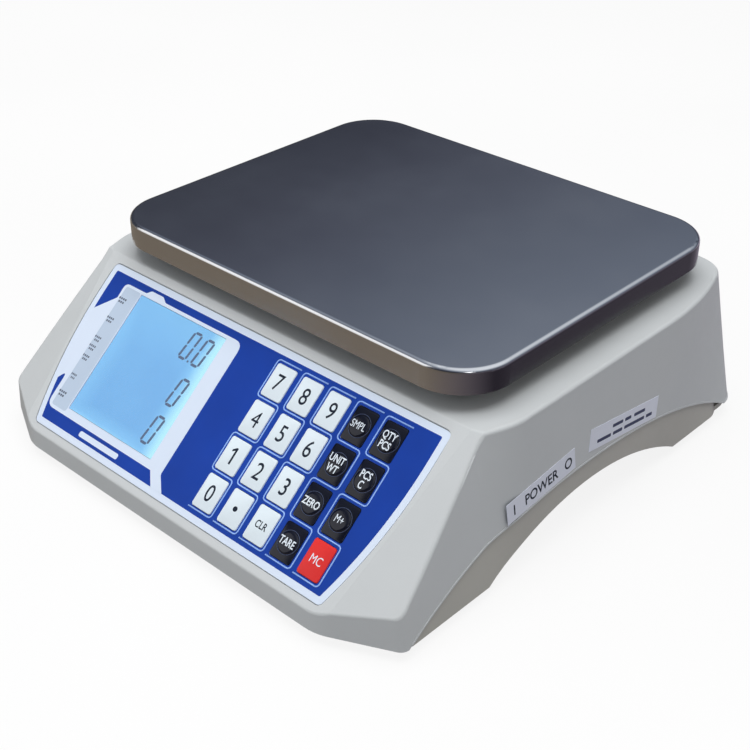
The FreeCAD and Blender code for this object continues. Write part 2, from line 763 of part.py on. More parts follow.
buffers = []
for number, (x_sign, y_sign) in enumerate((("", ""), ("-", ""), ("", "-"), ("-", "-"))):
    buffers.append(cylinder(f"buffer_{number}", (x_sign + "arm_side", y_sign + "arm_depth",
                            "spider_height + spider_sheet"), "buffer_radius",
                            "platter_top - platter_sheet - spider_height - spider_sheet"))
keep(group("pan_buffers", buffers), "pan_buffers")


def bolt(name, x, y, seat, head_up, length, radius, head_radius, head_height):
    """A cap screw from the plane under its head."""
    if head_up:
        head = cylinder(name + "_head", (x, y, seat), head_radius, head_height)
        shank = cylinder(name + "_shank", (x, y, f"{seat} - ({length})"), radius, length)
    else:
        head = cylinder(name + "_head", (x, y, f"{seat} - ({head_height})"), head_radius,
                        head_height)
        shank = cylinder(name + "_shank", (x, y, seat), radius, length)
    return fuse(name, [head, shank])


keep(group("cell_bolts_upper", [
    bolt(f"cell_bolt_upper_{number}", 0, place, f"{COLUMN_LOW} + column_foot", True,
         "column_foot + 18", "bolt_radius - 0.1", "bolt_radius + 2.4", 5.5)
    for number, place in enumerate(BOLT_PLACES)]), "cell_bolts_upper")

# ---------------------------------------------------------------- load cell and base plate
CELL_LOW = "plate_bottom + plate_sheet + base_spacer"
BASE_Y = "-cell_length / 2 + cell_end / 2"
BASE_BOLTS = [f"{BASE_Y} - 7", f"{BASE_Y} + 7"]
cell_bar = box("cell_bar", ("-cell_width / 2", "-cell_length / 2", CELL_LOW),
               ("cell_width", "cell_length", "cell_height"))
CELL_MIDDLE = CELL_LOW + " + cell_height / 2"
cell_cuts = [
    cross_cylinder("cell_hole_front", ("-cell_width", -12, CELL_MIDDLE), 8, "2 * cell_width"),
    cross_cylinder("cell_hole_rear", ("-cell_width", 12, CELL_MIDDLE), 8, "2 * cell_width"),
    box("cell_slot", ("-cell_width", -12, CELL_MIDDLE + " - 3"), ("2 * cell_width", 24, 6)),
]
for number, place in enumerate(BOLT_PLACES + BASE_BOLTS):
    cell_cuts.append(cylinder(f"cell_bolt_hole_{number}", (0, place, CELL_LOW + " - 1"),
                              "bolt_radius + 0.3", "cell_height + 2"))
keep(cut("load_cell", cell_bar, fuse("cell_cuts", cell_cuts)), "load_cell")

base_spacer = new_body("cell_base_spacer")
pad(base_spacer, "base_spacer_pad", "plate_bottom + plate_sheet", "base_spacer", [
    rectangle("-cell_width / 2", "cell_width / 2", "-cell_length / 2", "cell_end - cell_length / 2")])
pocket(base_spacer, "base_spacer_holes", CELL_LOW + " + 1", "base_spacer + 2",
       [(0, place, "bolt_radius + 0.3") for place in BASE_BOLTS])

keep(group("cell_bolts_lower", [
    bolt(f"cell_bolt_lower_{number}", 0, place, "plate_bottom", False,
         "plate_sheet + base_spacer + 16", "bolt_radius - 0.1", "bolt_radius + 2", 2.4)
    for number, place in enumerate(BASE_BOLTS)]), "cell_bolts_lower")

base_plate = new_body("base_plate")
pad(base_plate, "base_plate_pad", "plate_bottom", "plate_sheet", [
    rectangle("-plate_width / 2", "plate_width / 2", "-plate_depth / 2", "plate_depth / 2")])
round_edges(base_plate, "base_plate_corners", 8, upright)
plate_holes = [(0, place, "bolt_radius + 0.3") for place in BASE_BOLTS]
plate_holes += [(0, COLUMN_Y, 2.6)]
for x_sign in ("", "-"):
    for y_sign in ("", "-"):
        plate_holes.append((x_sign + "plate_screw_side", y_sign + "plate_screw_depth", 2.8))
pocket(base_plate, "base_plate_holes", "plate_bottom + plate_sheet + 1", "plate_sheet + 2",
       plate_holes)

stop_screw = cylinder("stop_screw", (0, COLUMN_Y, "plate_bottom - 4"), 2.5,
                      f"{CELL_LOW} - cell_clearance - plate_bottom + 4")
stop_nut = cylinder("stop_nut", (0, COLUMN_Y, "plate_bottom + plate_sheet"), 4.4, 2.6)
keep(fuse("overload_stop", [stop_screw, stop_nut]), "overload_stop")


def screws(label, places, seat, length, radius, head_radius, head_height):
    """The same screws at several places, heads up."""
    return [bolt(f"{label}_{number}", x, y, seat, True, length, radius, head_radius, head_height)
            for number, (x, y) in enumerate(places)]


plate_screws = screws("plate_screw", plate_screw_places(), "plate_bottom + plate_sheet",
                      "plate_sheet + 10", 2.4, 4.5, 2.8)
board_screws = screws("board_screw", main_board_screw_places(),
                      "main_board_height + board_sheet", "board_sheet + 8", 1.35, 2.8, 1.8)
keep(group("inner_screws", plate_screws + board_screws), "inner_screws")

housing_screws = [
    bolt(f"housing_screw_{number}", x, y, "screw_seat", False, "screw_split - screw_seat + 14",
         1.55, 3.6, 2.6)
    for number, (x, y) in enumerate(housing_screw_places())]
keep(group("housing_screws", housing_screws), "housing_screws")


# ---------------------------------------------------------------- feet
def make_foot(x, y, label):
    """A rubber-soled disc with a collar on a threaded stud."""
    sole = doc.addObject("Part::Cone", label + "_sole")
    bind(sole, Radius1="foot_radius", Radius2="foot_radius - 1", Height="foot_rubber - 1")
    move(sole, x, y, 0)
    collar = cylinder(label + "_collar", (x, y, "foot_rubber - 1"), "foot_radius - 4", 1)
    stud = cylinder(label + "_stud", (x, y, "foot_rubber - 0.5"), "stud_radius",
                    "stud_top - foot_rubber + 0.5")
    keep(fuse(label, [sole, collar, stud]), label)


for foot_x, foot_y, foot_name in foot_places():
    make_foot(foot_x, foot_y, foot_name)

# ---------------------------------------------------------------- battery
CRADLE_LOW = "plate_bottom + plate_sheet"
battery_left = "battery_right - battery_width"
battery_case = box("battery_case", (battery_left, "battery_front", CRADLE_LOW + " + cradle_sheet"),
                   ("battery_width", "battery_depth", "battery_height"))
rounded_case = doc.addObject("Part::Fillet", "battery_rounded_case")
rounded_case.Base = battery_case
doc.recompute()
rounded_case.Edges = [(index, 2, 2) for index, edge in enumerate(battery_case.Shape.Edges, start=1)
                      if upright([vertex.Point for vertex in edge.Vertexes])]
TERMINAL_BACKS = (18, 58)
terminals = [box(f"terminal_{number}", (f"battery_right - {back}", "battery_front + 8",
                 CRADLE_LOW + " + cradle_sheet + battery_height"), (5, 6.5, 2.5))
             for number, back in enumerate(TERMINAL_BACKS)]
keep(fuse("battery", [rounded_case] + terminals), "battery")

SHEET = "cradle_sheet + 0.2"
cradle_outer = box("cradle_outer", (f"{battery_left} - ({SHEET})", f"battery_front - ({SHEET})",
                   CRADLE_LOW), (f"battery_width + 2 * ({SHEET})",
                   f"battery_depth + 2 * ({SHEET})", "cradle_rise"))
cradle_inner = box("cradle_inner", (f"{battery_left} - 0.2", "battery_front - 0.2",
                   CRADLE_LOW + " + cradle_sheet"), ("battery_width + 0.4",
                   "battery_depth + 0.4", "cradle_rise"))
keep(cut("battery_cradle", cradle_outer, cradle_inner), "battery_cradle")

# ---------------------------------------------------------------- main board and power parts
main_board = new_body("main_board")
pad(main_board, "main_board_pad", "main_board_height", "board_sheet", [rectangle(
    "-main_board_half", "main_board_half", "-main_board_front",
    "main_board_depth - main_board_front")])
pocket(main_board, "main_board_holes", "main_board_height + board_sheet + 1", "board_sheet + 2", [
    (x, y, 1.6) for x, y in main_board_screw_places()])

BOARD_TOP = "main_board_height + board_sheet"
chips = [box(f"chip_{number}", (x, y, BOARD_TOP), (wide, deep, tall))
         for number, (x, y, wide, deep, tall) in enumerate((
             (-12, -140, 20, 20, 2.2), (22, -136, 10, 8, 2), (-40, -134, 9, 14, 2),
             (24, -118, 8, 8, 1.8)))]
connectors = [box(f"connector_{number}", (x, -102, BOARD_TOP), (wide, 7, 6.5))
              for number, (x, wide) in enumerate(((-40, 22), (-8, 14), (16, 12), (34, 12)))]
capacitors = [cylinder(f"capacitor_{number}", (x, -112, BOARD_TOP), radius, tall)
              for number, (x, radius, tall) in enumerate(((-44, 4, 11), (-32, 4, 11), (0, 5, 14)))]
keep(group("board_components", chips + connectors + capacitors), "board_components")

core = box("transformer_core", (50, 22, "plate_bottom + plate_sheet"), (50, 16, 40))
coil = box("transformer_coil", (57, 12, "plate_bottom + plate_sheet + 7"), (36, 36, 26))
keep(fuse("power_transformer", [core, coil]), "power_transformer")


def under_part(label, x, y, seat, flange, body_size, opening, bearing=None):
    """A part pushed up into its pocket: a flange under the seat, a body above, an opening."""
    base = f"{seat} - 1.6"
    plate = box(label + "_flange", (f"{x} - {flange[0] / 2}", f"{y} - {flange[1] / 2}", base),
                (flange[0], flange[1], 1.6))
    block = box(label + "_block", (f"{x} - {body_size[0] / 2}", f"{y} - {body_size[1] / 2}", seat),
                (body_size[0], body_size[1], body_size[2]))
    hole = box(label + "_opening", (f"{x} - {opening[0] / 2}", f"{y} - {opening[1] / 2}",
               f"{base} - 1"), (opening[0], opening[1], opening[2] + 1))
    hollow = fuse(label + "_hollow", [hole, bearing]) if bearing else hole
    return keep(cut(label, fuse(label + "_solid", [plate, block]), hollow), label)


PIN_REACH = "rocker_half_width + pin_end"
pin_bearing = cross_cylinder("pin_bearing", (f"switch_side - ({PIN_REACH}) - 0.1", "switch_depth",
                             "switch_seat + pivot_rise"), "pin_radius + pin_gap",
                             f"2 * ({PIN_REACH} + 0.1)")
under_part("power_switch_body", "switch_side", "switch_depth", "switch_seat",
           (21, 29), (12, 19.4, 15), (9.4, 15.4, 9), pin_bearing)
under_part("mains_inlet", "inlet_side", "inlet_depth", "inlet_seat",
           (25, 31), (18, 25.4, 16), (13, 20, 14))


def power_rocker():
    """A rocker with two faces that meet under its cross pin at a wide angle."""
    half_width = dim("rocker_half_width")
    half = 7
    middle = dim("switch_depth")
    pivot = dim("switch_seat") + dim("pivot_rise")
    outline = [(-half, -1.7), (0, -2.5), (half, -3.4), (half - 0.6, 2), (0, 4.4), (0.6 - half, 2)]
    corners = [Vector(dim("switch_side") - half_width, middle + y, pivot + z) for y, z in outline]
    cap = Part.Face(Part.makePolygon(corners + corners[:1])).extrude(Vector(2 * half_width, 0, 0))
    reach = half_width + dim("pin_end")
    pin_start = Vector(dim("switch_side") - reach, middle, pivot)
    return cap.fuse(Part.makeCylinder(dim("pin_radius"), 2 * reach, pin_start, Vector(1, 0, 0)))


feature("power_rocker", power_rocker())


# ---------------------------------------------------------------- labels on the right side
def side_label(label, y, z, length, height, turn):
    """A thin sticker lying on the drafted side wall."""
    half_bottom = dim("body_width") / 2
    half_top = dim("body_width_top") / 2
    rise = dim("body_top") - dim("body_bottom")
    lean = math.degrees(math.atan2(half_bottom - half_top, rise))
    x = half_bottom - (half_bottom - half_top) * (z - dim("body_bottom")) / rise
    made = doc.addObject("Part::Box", label)
    made.Length = 0.2
    made.Width = length
    made.Height = height
    tilt = FreeCAD.Placement(Vector(x + 0.02, y, z), FreeCAD.Rotation(Vector(0, 1, 0), -lean))
    spin = FreeCAD.Placement(Vector(), FreeCAD.Rotation(Vector(1, 0, 0), turn))
    centre = FreeCAD.Placement(Vector(0, -length / 2, -height / 2), FreeCAD.Rotation())
    made.Placement = tilt.multiply(spin).multiply(centre)
    return keep(made, label)


side_label("power_label", -73.5, 46.8, 58, 13, 6.0)
side_label("rating_label", 1.6, 49, 66.5, 13.4, -7.7)

# ---------------------------------------------------------------- level
def level_part(name, low, radius, height):
    """An upright round piece of the spirit level, from a height above the inner top face."""
    return cylinder(name, ("level_side", "level_depth", f"body_top - wall + ({low})"), radius, height)


vial_cup = level_part("vial_cup", -3, "level_radius", "wall + 2.6")
vial_well = level_part("vial_well", -2, "level_radius - 1.55", "wall + 3")
vial = level_part("vial", -2, "level_radius - 1.75", "wall + 1.2")
keep(group("spirit_level", [cut("vial_holder", vial_cup, vial_well), vial]), "spirit_level")


# ---------------------------------------------------------------- cables
CABLE_BEND = 7


def cable(points, radius):
    """A round cable of straight runs with a bend at each corner."""
    places = [Vector(*point) for point in points]
    start = places[0]
    runs = []
    for before, corner, after in zip(places, places[1:], places[2:]):
        way_in = (corner - before).normalize()
        way_out = (after - corner).normalize()
        half_turn = way_in.getAngle(way_out) / 2
        reach = CABLE_BEND * math.tan(half_turn)
        inward = (way_out - way_in).normalize()
        middle = corner + inward * (CABLE_BEND / math.cos(half_turn) - CABLE_BEND)
        arc_start = corner - way_in * reach
        arc_end = corner + way_out * reach
        runs.append(Part.makeLine(start, arc_start))
        runs.append(Part.Arc(arc_start, middle, arc_end).toShape())
        start = arc_end
    runs.append(Part.makeLine(start, places[-1]))
    ring = Part.Wire([Part.makeCircle(radius, places[0], places[1] - places[0])])
    return Part.Wire(runs).makePipeShell([ring], True, False)


CONNECTOR_Y = -98.5
cell_middle = dim("plate_bottom") + dim("plate_sheet") + dim("base_spacer") + dim("cell_height") / 2
connector_top = dim("main_board_height") + dim("board_sheet") + 6.55
feature("load_cell_cable", cable([
    (dim("cell_width") / 2 + 0.05, -40, cell_middle), (28, -40, cell_middle),
    (22, CONNECTOR_Y, 58), (22, CONNECTOR_Y, connector_top)], 1.8))

battery_top = dim("plate_bottom") + dim("plate_sheet") + dim("cradle_sheet") + dim("battery_height")
battery_leads = []
for back, end in zip(TERMINAL_BACKS, (-33, -37)):
    lead_start = dim("battery_right") - back + 2.5
    battery_leads.append(cable([
        (lead_start, 7.95, battery_top + 1.25), (lead_start, -12, battery_top + 1.25),
        (end, CONNECTOR_Y, 58), (end, CONNECTOR_Y, connector_top)], 1.1))
feature("battery_leads", Part.makeCompound(battery_leads))

switch_x, switch_y, switch_z = dim("switch_side"), dim("switch_depth"), dim("switch_seat") + 15.05
inlet_x, inlet_y, inlet_z = dim("inlet_side"), dim("inlet_depth") + 6, dim("inlet_seat") + 16.05
near_coil = dim("plate_bottom") + 30
power_leads = [
    cable([(switch_x, switch_y, switch_z), (switch_x, switch_y, switch_z + 15),
           (40, CONNECTOR_Y, 60), (40, CONNECTOR_Y, connector_top)], 1.6),
    cable([(inlet_x, inlet_y, inlet_z), (inlet_x, inlet_y, near_coil), (116, 30, near_coil),
           (100.05, 30, near_coil)], 1.6),
    cable([(75, 11.95, 58), (75, -4, 58), (45, CONNECTOR_Y, 62), (45, CONNECTOR_Y, connector_top)],
          1.4),
]
feature("power_leads", Part.makeCompound(power_leads))


def display_ribbon():
    """A flat ribbon from the back of the display board down to its connector."""
    start = panel_point(0, 30, -dim("panel_wall") - dim("glass_sheet") - dim("backlight_sheet") - 2.6)
    end = (-98.5, connector_top + 0.6)
    curve = Part.BezierCurve()
    curve.setPoles([Vector(-30, start.y, start.z), Vector(-30, start.y + 14, start.z - 12),
                    Vector(-30, end[0], end[1] + 16), Vector(-30, end[0], end[1])])
    strip = curve.toShape().extrude(Vector(0, 0.5, 0))
    return strip.extrude(Vector(10, 0, 0))


feature("display_ribbon", display_ribbon())

# ---------------------------------------------------------------- checks and export
doc.recompute()
for item in doc.Objects:
    if "Invalid" in item.State or "Error" in item.State:
        raise RuntimeError(f"{item.Label} did not compute: {item.State}")
for label, item in sub_parts.items():
    if item.Shape.isNull() or not item.Shape.isValid():
        raise RuntimeError(label + " has no valid shape")

os.makedirs("parts", exist_ok=True)
for label, item in sub_parts.items():
    item.Shape.exportStep(f"parts/{label}.step")
print(len(sub_parts), "sub-parts written")
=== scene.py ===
import bpy
import bmesh
import json
import math
from mathutils import Matrix, Vector
from mathutils.geometry import tessellate_polygon


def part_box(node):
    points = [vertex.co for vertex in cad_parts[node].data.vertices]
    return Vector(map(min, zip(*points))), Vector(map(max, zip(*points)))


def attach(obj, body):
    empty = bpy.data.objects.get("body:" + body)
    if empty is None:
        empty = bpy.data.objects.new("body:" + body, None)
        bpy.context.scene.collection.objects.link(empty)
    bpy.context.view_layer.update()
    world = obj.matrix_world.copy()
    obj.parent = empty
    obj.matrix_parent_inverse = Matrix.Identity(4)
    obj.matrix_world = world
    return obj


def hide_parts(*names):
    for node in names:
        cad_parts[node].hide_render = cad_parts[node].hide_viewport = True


# Looks of a counting scale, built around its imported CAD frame. The scene is in metres. The panel's
# prints, keys and legends are laid out in millimetres in the panel's own coordinates.
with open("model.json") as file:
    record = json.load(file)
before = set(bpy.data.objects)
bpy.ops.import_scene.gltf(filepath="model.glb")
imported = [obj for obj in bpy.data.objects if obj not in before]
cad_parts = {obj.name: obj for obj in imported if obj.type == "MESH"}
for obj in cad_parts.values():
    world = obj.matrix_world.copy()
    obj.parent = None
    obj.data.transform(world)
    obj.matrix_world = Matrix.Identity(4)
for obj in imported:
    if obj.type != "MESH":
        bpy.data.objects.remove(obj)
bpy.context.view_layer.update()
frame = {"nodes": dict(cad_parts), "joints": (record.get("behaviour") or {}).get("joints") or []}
NODES = frame["nodes"]
MM = 0.001
SHELL = "housing"

# ------------------------------------------------------------------ the panel's own coordinates
# across: towards +X. down: down the slope from the blue print's top edge. out: off the panel.
INTO_PANEL = next(Vector(j["axis"]) for j in frame["joints"] if j["name"] == "key_5_press")
PANEL_OUT = -INTO_PANEL.normalized()
PANEL_DOWN = Vector((0, -PANEL_OUT.z, PANEL_OUT.y))
OVERLAY_BORDER = 4.2
OVERLAY_TOP = -0.2


def find_panel_origin():
    """The point of the panel plane at the top edge of the blue print, on the middle line."""
    corners = [v.co for v in NODES["front_overlay"].data.vertices]
    top = max(co.dot(PANEL_OUT) for co in corners) - OVERLAY_TOP * MM
    start = min(co.dot(PANEL_DOWN) for co in corners) + OVERLAY_BORDER * MM
    return PANEL_OUT * top + PANEL_DOWN * start


PANEL_ORIGIN = find_panel_origin()
TO_PANEL = Matrix((
    (1, 0, 0, PANEL_ORIGIN.x),
    (0, -PANEL_DOWN.y, PANEL_OUT.y, PANEL_ORIGIN.y),
    (0, -PANEL_DOWN.z, PANEL_OUT.z, PANEL_ORIGIN.z),
    (0, 0, 0, 1)))


# ------------------------------------------------------------------ colours and node materials
def srgb(red, green, blue):
    """A linear colour from 0-255 display values."""
    def linear(value):
        value /= 255
        return value / 12.92 if value <= 0.04045 else ((value + 0.055) / 1.055) ** 2.4
    return (linear(red), linear(green), linear(blue), 1)


def scaled(colour, factor, floor=0.0):
    """A colour made lighter or darker, kept within the range of a surface colour."""
    return tuple(min(1, channel * factor + floor) for channel in colour[:3]) + (1,)


class Material:
    """A node material around one Principled shader."""

    def __init__(self, name, **inputs):
        self.data = bpy.data.materials.new(name)
        self.data.use_nodes = True
        self.tree = self.data.node_tree
        self.shader = self.tree.nodes["Principled BSDF"]
        for key, value in inputs.items():
            self.shader.inputs[key.replace("_", " ")].default_value = value
        self.place = self.node("ShaderNodeTexCoord").outputs["Object"]

    def node(self, kind, **settings):
        made = self.tree.nodes.new(kind)
        for key, value in settings.items():
            setattr(made, key, value)
        return made

    def link(self, output, target):
        self.tree.links.new(output, target)

    def noise(self, scale, detail=3, roughness=0.5, stretch=None):
        """A noise value; scale is in features per metre."""
        place = self.place
        if stretch:
            mapping = self.node("ShaderNodeMapping")
            mapping.inputs["Scale"].default_value = stretch
            self.link(place, mapping.inputs["Vector"])
            place = mapping.outputs["Vector"]
        made = self.node("ShaderNodeTexNoise")
        made.inputs["Scale"].default_value = scale
        made.inputs["Detail"].default_value = detail
        made.inputs["Roughness"].default_value = roughness
        self.link(place, made.inputs["Vector"])
        return made.outputs["Fac"]

    def ramp(self, value, stops):
        """Colours along a value: stops are (position, colour)."""
        made = self.node("ShaderNodeValToRGB")
        elements = made.color_ramp.elements
        while len(elements) < len(stops):
            elements.new(0.5)
        for element, (position, colour) in zip(elements, stops):
            element.position = position
            element.color = colour
        self.link(value, made.inputs["Fac"])
        return made.outputs["Color"]

    def spread(self, value, low, high, from_low=0.3, from_high=0.7):
        """A value moved from one range to another."""
        made = self.node("ShaderNodeMapRange")
        made.inputs["From Min"].default_value = from_low
        made.inputs["From Max"].default_value = from_high
        made.inputs["To Min"].default_value = low
        made.inputs["To Max"].default_value = high
        self.link(value, made.inputs["Value"])
        return made.outputs["Result"]

    def bump(self, value, height, strength=1.0):
        """A surface relief; height is in metres."""
        made = self.node("ShaderNodeBump")
        made.inputs["Distance"].default_value = height
        made.inputs["Strength"].default_value = strength
        previous = self.shader.inputs["Normal"]
        if previous.is_linked:
            self.link(previous.links[0].from_socket, made.inputs["Normal"])
        self.link(value, made.inputs["Height"])
        self.link(made.outputs["Normal"], previous)

    def colour(self, output):
        self.link(output, self.shader.inputs["Base Color"])

    def rough(self, output):
        self.link(output, self.shader.inputs["Roughness"])

    def painted_crevice_shade(self, colour_output, distance, darkest):
        """Painted shade: darken a colour by ambient occlusion where surfaces are close together."""
        occlusion = self.node("ShaderNodeAmbientOcclusion")
        occlusion.samples = 4
        occlusion.inputs["Distance"].default_value = distance
        made = self.node("ShaderNodeMix", data_type="RGBA", blend_type="MULTIPLY")
        made.inputs["Factor"].default_value = 1
        shade = self.ramp(occlusion.outputs["AO"],
                          [(0.2, (darkest,) * 3 + (1,)), (0.9, (1, 1, 1, 1))])
        self.link(colour_output, made.inputs["A"])
        self.link(shade, made.inputs["B"])
        return made.outputs["Result"]


def moulded_plastic(name, colour, grain=0.00002, rough=0.42, warm=0.0):
    """Injection-moulded plastic: spark-eroded grain, soft mottling and painted shade darkening its
    crevices.
    """
    made = Material(name, Roughness=rough, Specular_IOR_Level=0.45)
    cloud = made.noise(14, 4)
    second = scaled(colour, 0.965)
    warmer = (colour[0] * (1 + warm), colour[1], colour[2] * (1 - warm), 1)
    tone = made.ramp(cloud, [(0.3, second), (0.55, colour), (0.75, warmer)])
    # painted shade: the colour is darkened by ambient occlusion in crevices and where parts meet
    made.colour(made.painted_crevice_shade(tone, 0.006, 0.72))
    made.rough(made.spread(made.noise(160, 3), rough - 0.06, rough + 0.08))
    made.bump(made.noise(2600, 2, 0.6), grain, 0.5)
    made.bump(made.noise(9, 2), 0.00025, 0.12)
    return made.data


def printed_film(name, colour, rough=0.45, lift=1.12, gloss=0.12):
    """Printed polyester film: even ink under a fine orange-peel surface."""
    made = Material(name, Roughness=rough, Specular_IOR_Level=gloss)
    made.colour(made.ramp(made.noise(22, 3), [(0.35, colour), (0.7, scaled(colour, lift))]))
    made.rough(made.spread(made.noise(90, 3), rough - 0.05, rough + 0.07))
    made.bump(made.noise(1800, 2), 0.000006, 0.5)
    return made.data


def metal(name, colour, rough, stretch=None, fine=900, relief=0.000004):
    """Bare metal with a grain that may run one way."""
    made = Material(name, Metallic=1.0, Roughness=rough)
    grain = made.noise(fine, 3, 0.6, stretch)
    made.colour(made.ramp(made.noise(30, 4), [(0.3, scaled(colour, 0.86)), (0.7, colour)]))
    made.rough(made.spread(grain, rough * 0.8, min(1, rough * 1.25)))
    made.bump(grain, relief, 0.4)
    return made.data


def rubber(name, colour):
    made = Material(name, Roughness=0.75, Specular_IOR_Level=0.3)
    dust = scaled(colour, 2.4, 0.01)
    made.colour(made.ramp(made.noise(120, 5, 0.65), [(0.45, colour), (0.8, dust)]))
    made.bump(made.noise(1500, 3, 0.7), 0.00003, 0.6)
    return made.data


def paint_node(node, material):
    """Give a CAD node its finish."""
    slots = NODES[node].data.materials
    slots.clear()
    slots.append(material)


HOUSING = moulded_plastic("housing_plastic", srgb(206, 210, 212), warm=0.004)
TRAY = moulded_plastic("tray_plastic", srgb(190, 189, 182), warm=0.006)
WHITE_FILM = printed_film("white_film", srgb(220, 232, 250), lift=1.02)
SCALE_FILM = printed_film("scale_film", srgb(190, 206, 226), lift=1.04)
BLUE_FILM = printed_film("blue_film", srgb(24, 62, 156), lift=1.2)
OUTLINE_INK = printed_film("outline_ink", srgb(150, 186, 250))
MARK_INK = printed_film("mark_ink", srgb(96, 104, 122), rough=0.5)
DARK_INK = printed_film("dark_ink", srgb(34, 42, 56), rough=0.45)
# the dome rings' lighter blue-grey colour is a painted highlight on real raised geometry
RING_PAINTED_HIGHLIGHT = printed_film("ring_painted_highlight", srgb(58, 68, 96), rough=0.2, gloss=0.6)
STICKER_INK = printed_film("sticker_ink", srgb(70, 76, 104), rough=0.45)
WHITE_INK = printed_film("white_ink", srgb(226, 236, 248), rough=0.4)
KEY_WHITE = printed_film("key_white", srgb(228, 240, 248), rough=0.35, lift=1.02, gloss=0.25)
KEY_BLACK = printed_film("key_black", srgb(10, 13, 28), rough=0.16, lift=1.5, gloss=0.5)
KEY_RED = printed_film("key_red", srgb(226, 52, 50), rough=0.35, lift=1.1, gloss=0.25)
RUBBER = rubber("foot_rubber", srgb(38, 38, 40))
BLACK_PLASTIC = moulded_plastic("black_plastic", srgb(30, 30, 33), rough=0.4)
BOARD = printed_film("solder_mask", srgb(24, 92, 48), rough=0.35, lift=1.4)
ZINC = metal("zinc_plate", srgb(196, 198, 202), 0.32)
MACHINED = metal("machined_aluminium", srgb(205, 208, 212), 0.35, stretch=(1, 0.05, 1))
CAST = metal("cast_aluminium", srgb(150, 152, 156), 0.55, relief=0.00003)
PLATE_PAINT = moulded_plastic("plate_coat", srgb(92, 95, 100), rough=0.5)
SHEATH = rubber("cable_sheath", srgb(34, 34, 38))
VARNISH = moulded_plastic("coil_varnish", srgb(84, 66, 44), rough=0.35)
RIBBON = moulded_plastic("ribbon_vinyl", srgb(196, 196, 190), rough=0.5)
LABEL_FILM = printed_film("label_film", srgb(232, 236, 250), rough=0.4, lift=1.03)


def vial_material():
    """The tinted liquid of the spirit level."""
    made = Material("vial_liquid", Roughness=0.12, Specular_IOR_Level=0.6)
    made.colour(made.ramp(made.noise(300, 3),
                          [(0.3, srgb(120, 170, 40)), (0.7, srgb(176, 214, 70))]))
    return made.data


def clear_film():
    """The clear window: mostly see-through, with a faint soft gloss."""
    made = Material("clear_window", Roughness=0.16, Specular_IOR_Level=0.2, Alpha=0.08)
    made.rough(made.spread(made.noise(60, 3), 0.1, 0.22))
    made.bump(made.noise(700, 2), 0.000004, 0.4)
    return made.data


FINISHES = {
    HOUSING: ["upper_housing"],
    TRAY: ["lower_housing"],
    BOARD: ["display_board", "keypad_board", "main_board"],
    BLACK_PLASTIC: ["battery_cradle", "power_switch_body", "mains_inlet", "power_rocker",
                    "board_components", "battery"],
    ZINC: ["cell_bolts_upper", "cell_bolts_lower", "housing_screws", "inner_screws",
           "overload_stop", "snap_domes"],
    MACHINED: ["load_cell", "cell_base_spacer"],
    CAST: ["pan_support"],
    PLATE_PAINT: ["base_plate"],
    RUBBER: ["pan_buffers", "foot_front_left", "foot_front_right", "foot_rear_left",
             "foot_rear_right"],
    SHEATH: ["load_cell_cable", "battery_leads", "power_leads"],
    VARNISH: ["power_transformer"],
    RIBBON: ["display_ribbon", "display_frame", "display_backlight"],
    LABEL_FILM: ["power_label", "rating_label"],
    vial_material(): ["spirit_level"],
}
for finish, node_names in FINISHES.items():
    for node_name in node_names:
        paint_node(node_name, finish)


# ------------------------------------------------------------------ flat outlines and plates
def rounded(corners, radius, steps=5):
    """A closed outline with its corners turned into arcs. A corner may carry its own radius."""
    points = []
    count = len(corners)
    for index, corner in enumerate(corners):
        here = Vector(corner[:2])
        before = (Vector(corners[index - 1][:2]) - here)
        after = (Vector(corners[(index + 1) % count][:2]) - here)
        bend = corner[2] if len(corner) > 2 else radius
        between = before.angle(after)
        reach = bend / math.tan(between / 2) if between < math.pi - 0.01 else 0
        if reach < 1e-6:
            points.append(here)
            continue
        start = here + before.normalized() * reach
        end = here + after.normalized() * reach
        for step in range(steps + 1):
            t = step / steps
            points.append(start * (1 - t) ** 2 + here * 2 * t * (1 - t) + end * t ** 2)
    return points


def rectangle(left, right, top, bottom):
    """Corners in panel coordinates, where down is positive."""
    return [(left, top), (right, top), (right, bottom), (left, bottom)]


def circle(across, down, radius, count):
    """Points of a circle in panel coordinates."""
    turns = [2 * math.pi * step / count for step in range(count)]
    return [(across + radius * math.cos(turn), down + radius * math.sin(turn)) for turn in turns]


def new_object(name, mesh, material, body=SHELL, smooth=False):
    made = bpy.data.objects.new(name, mesh)
    bpy.context.scene.collection.objects.link(made)
    mesh.materials.append(material)
    for polygon in mesh.polygons:
        polygon.use_smooth = smooth
    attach(made, body)
    return made


def panel_place(across, down, out):
    """A point from panel coordinates in millimetres."""
    return TO_PANEL @ Vector((across * MM, -down * MM, out * MM))


def plate(name, outlines, low, high, material, body=SHELL, place=panel_place):
    """A flat plate with straight walls; the first outline is the rim and the rest are holes."""
    mesh = bpy.data.meshes.new(name)
    build = bmesh.new()
    triangles = tessellate_polygon([[Vector((p[0], p[1], 0)) for p in ring] for ring in outlines])
    rings = {}
    for level in (low, high):
        rings[level] = [[build.verts.new(place(p[0], p[1], level)) for p in ring]
                        for ring in outlines]
        flat = [vertex for ring in rings[level] for vertex in ring]
        for triangle in triangles:
            build.faces.new([flat[index] for index in triangle])
    for below, above in zip(rings[low], rings[high]):
        for index in range(len(below)):
            after = (index + 1) % len(below)
            build.faces.new((below[index], below[after], above[after], above[index]))
    bmesh.ops.recalc_face_normals(build, faces=build.faces)
    build.to_mesh(mesh)
    build.free()
    return new_object(name, mesh, material, body)


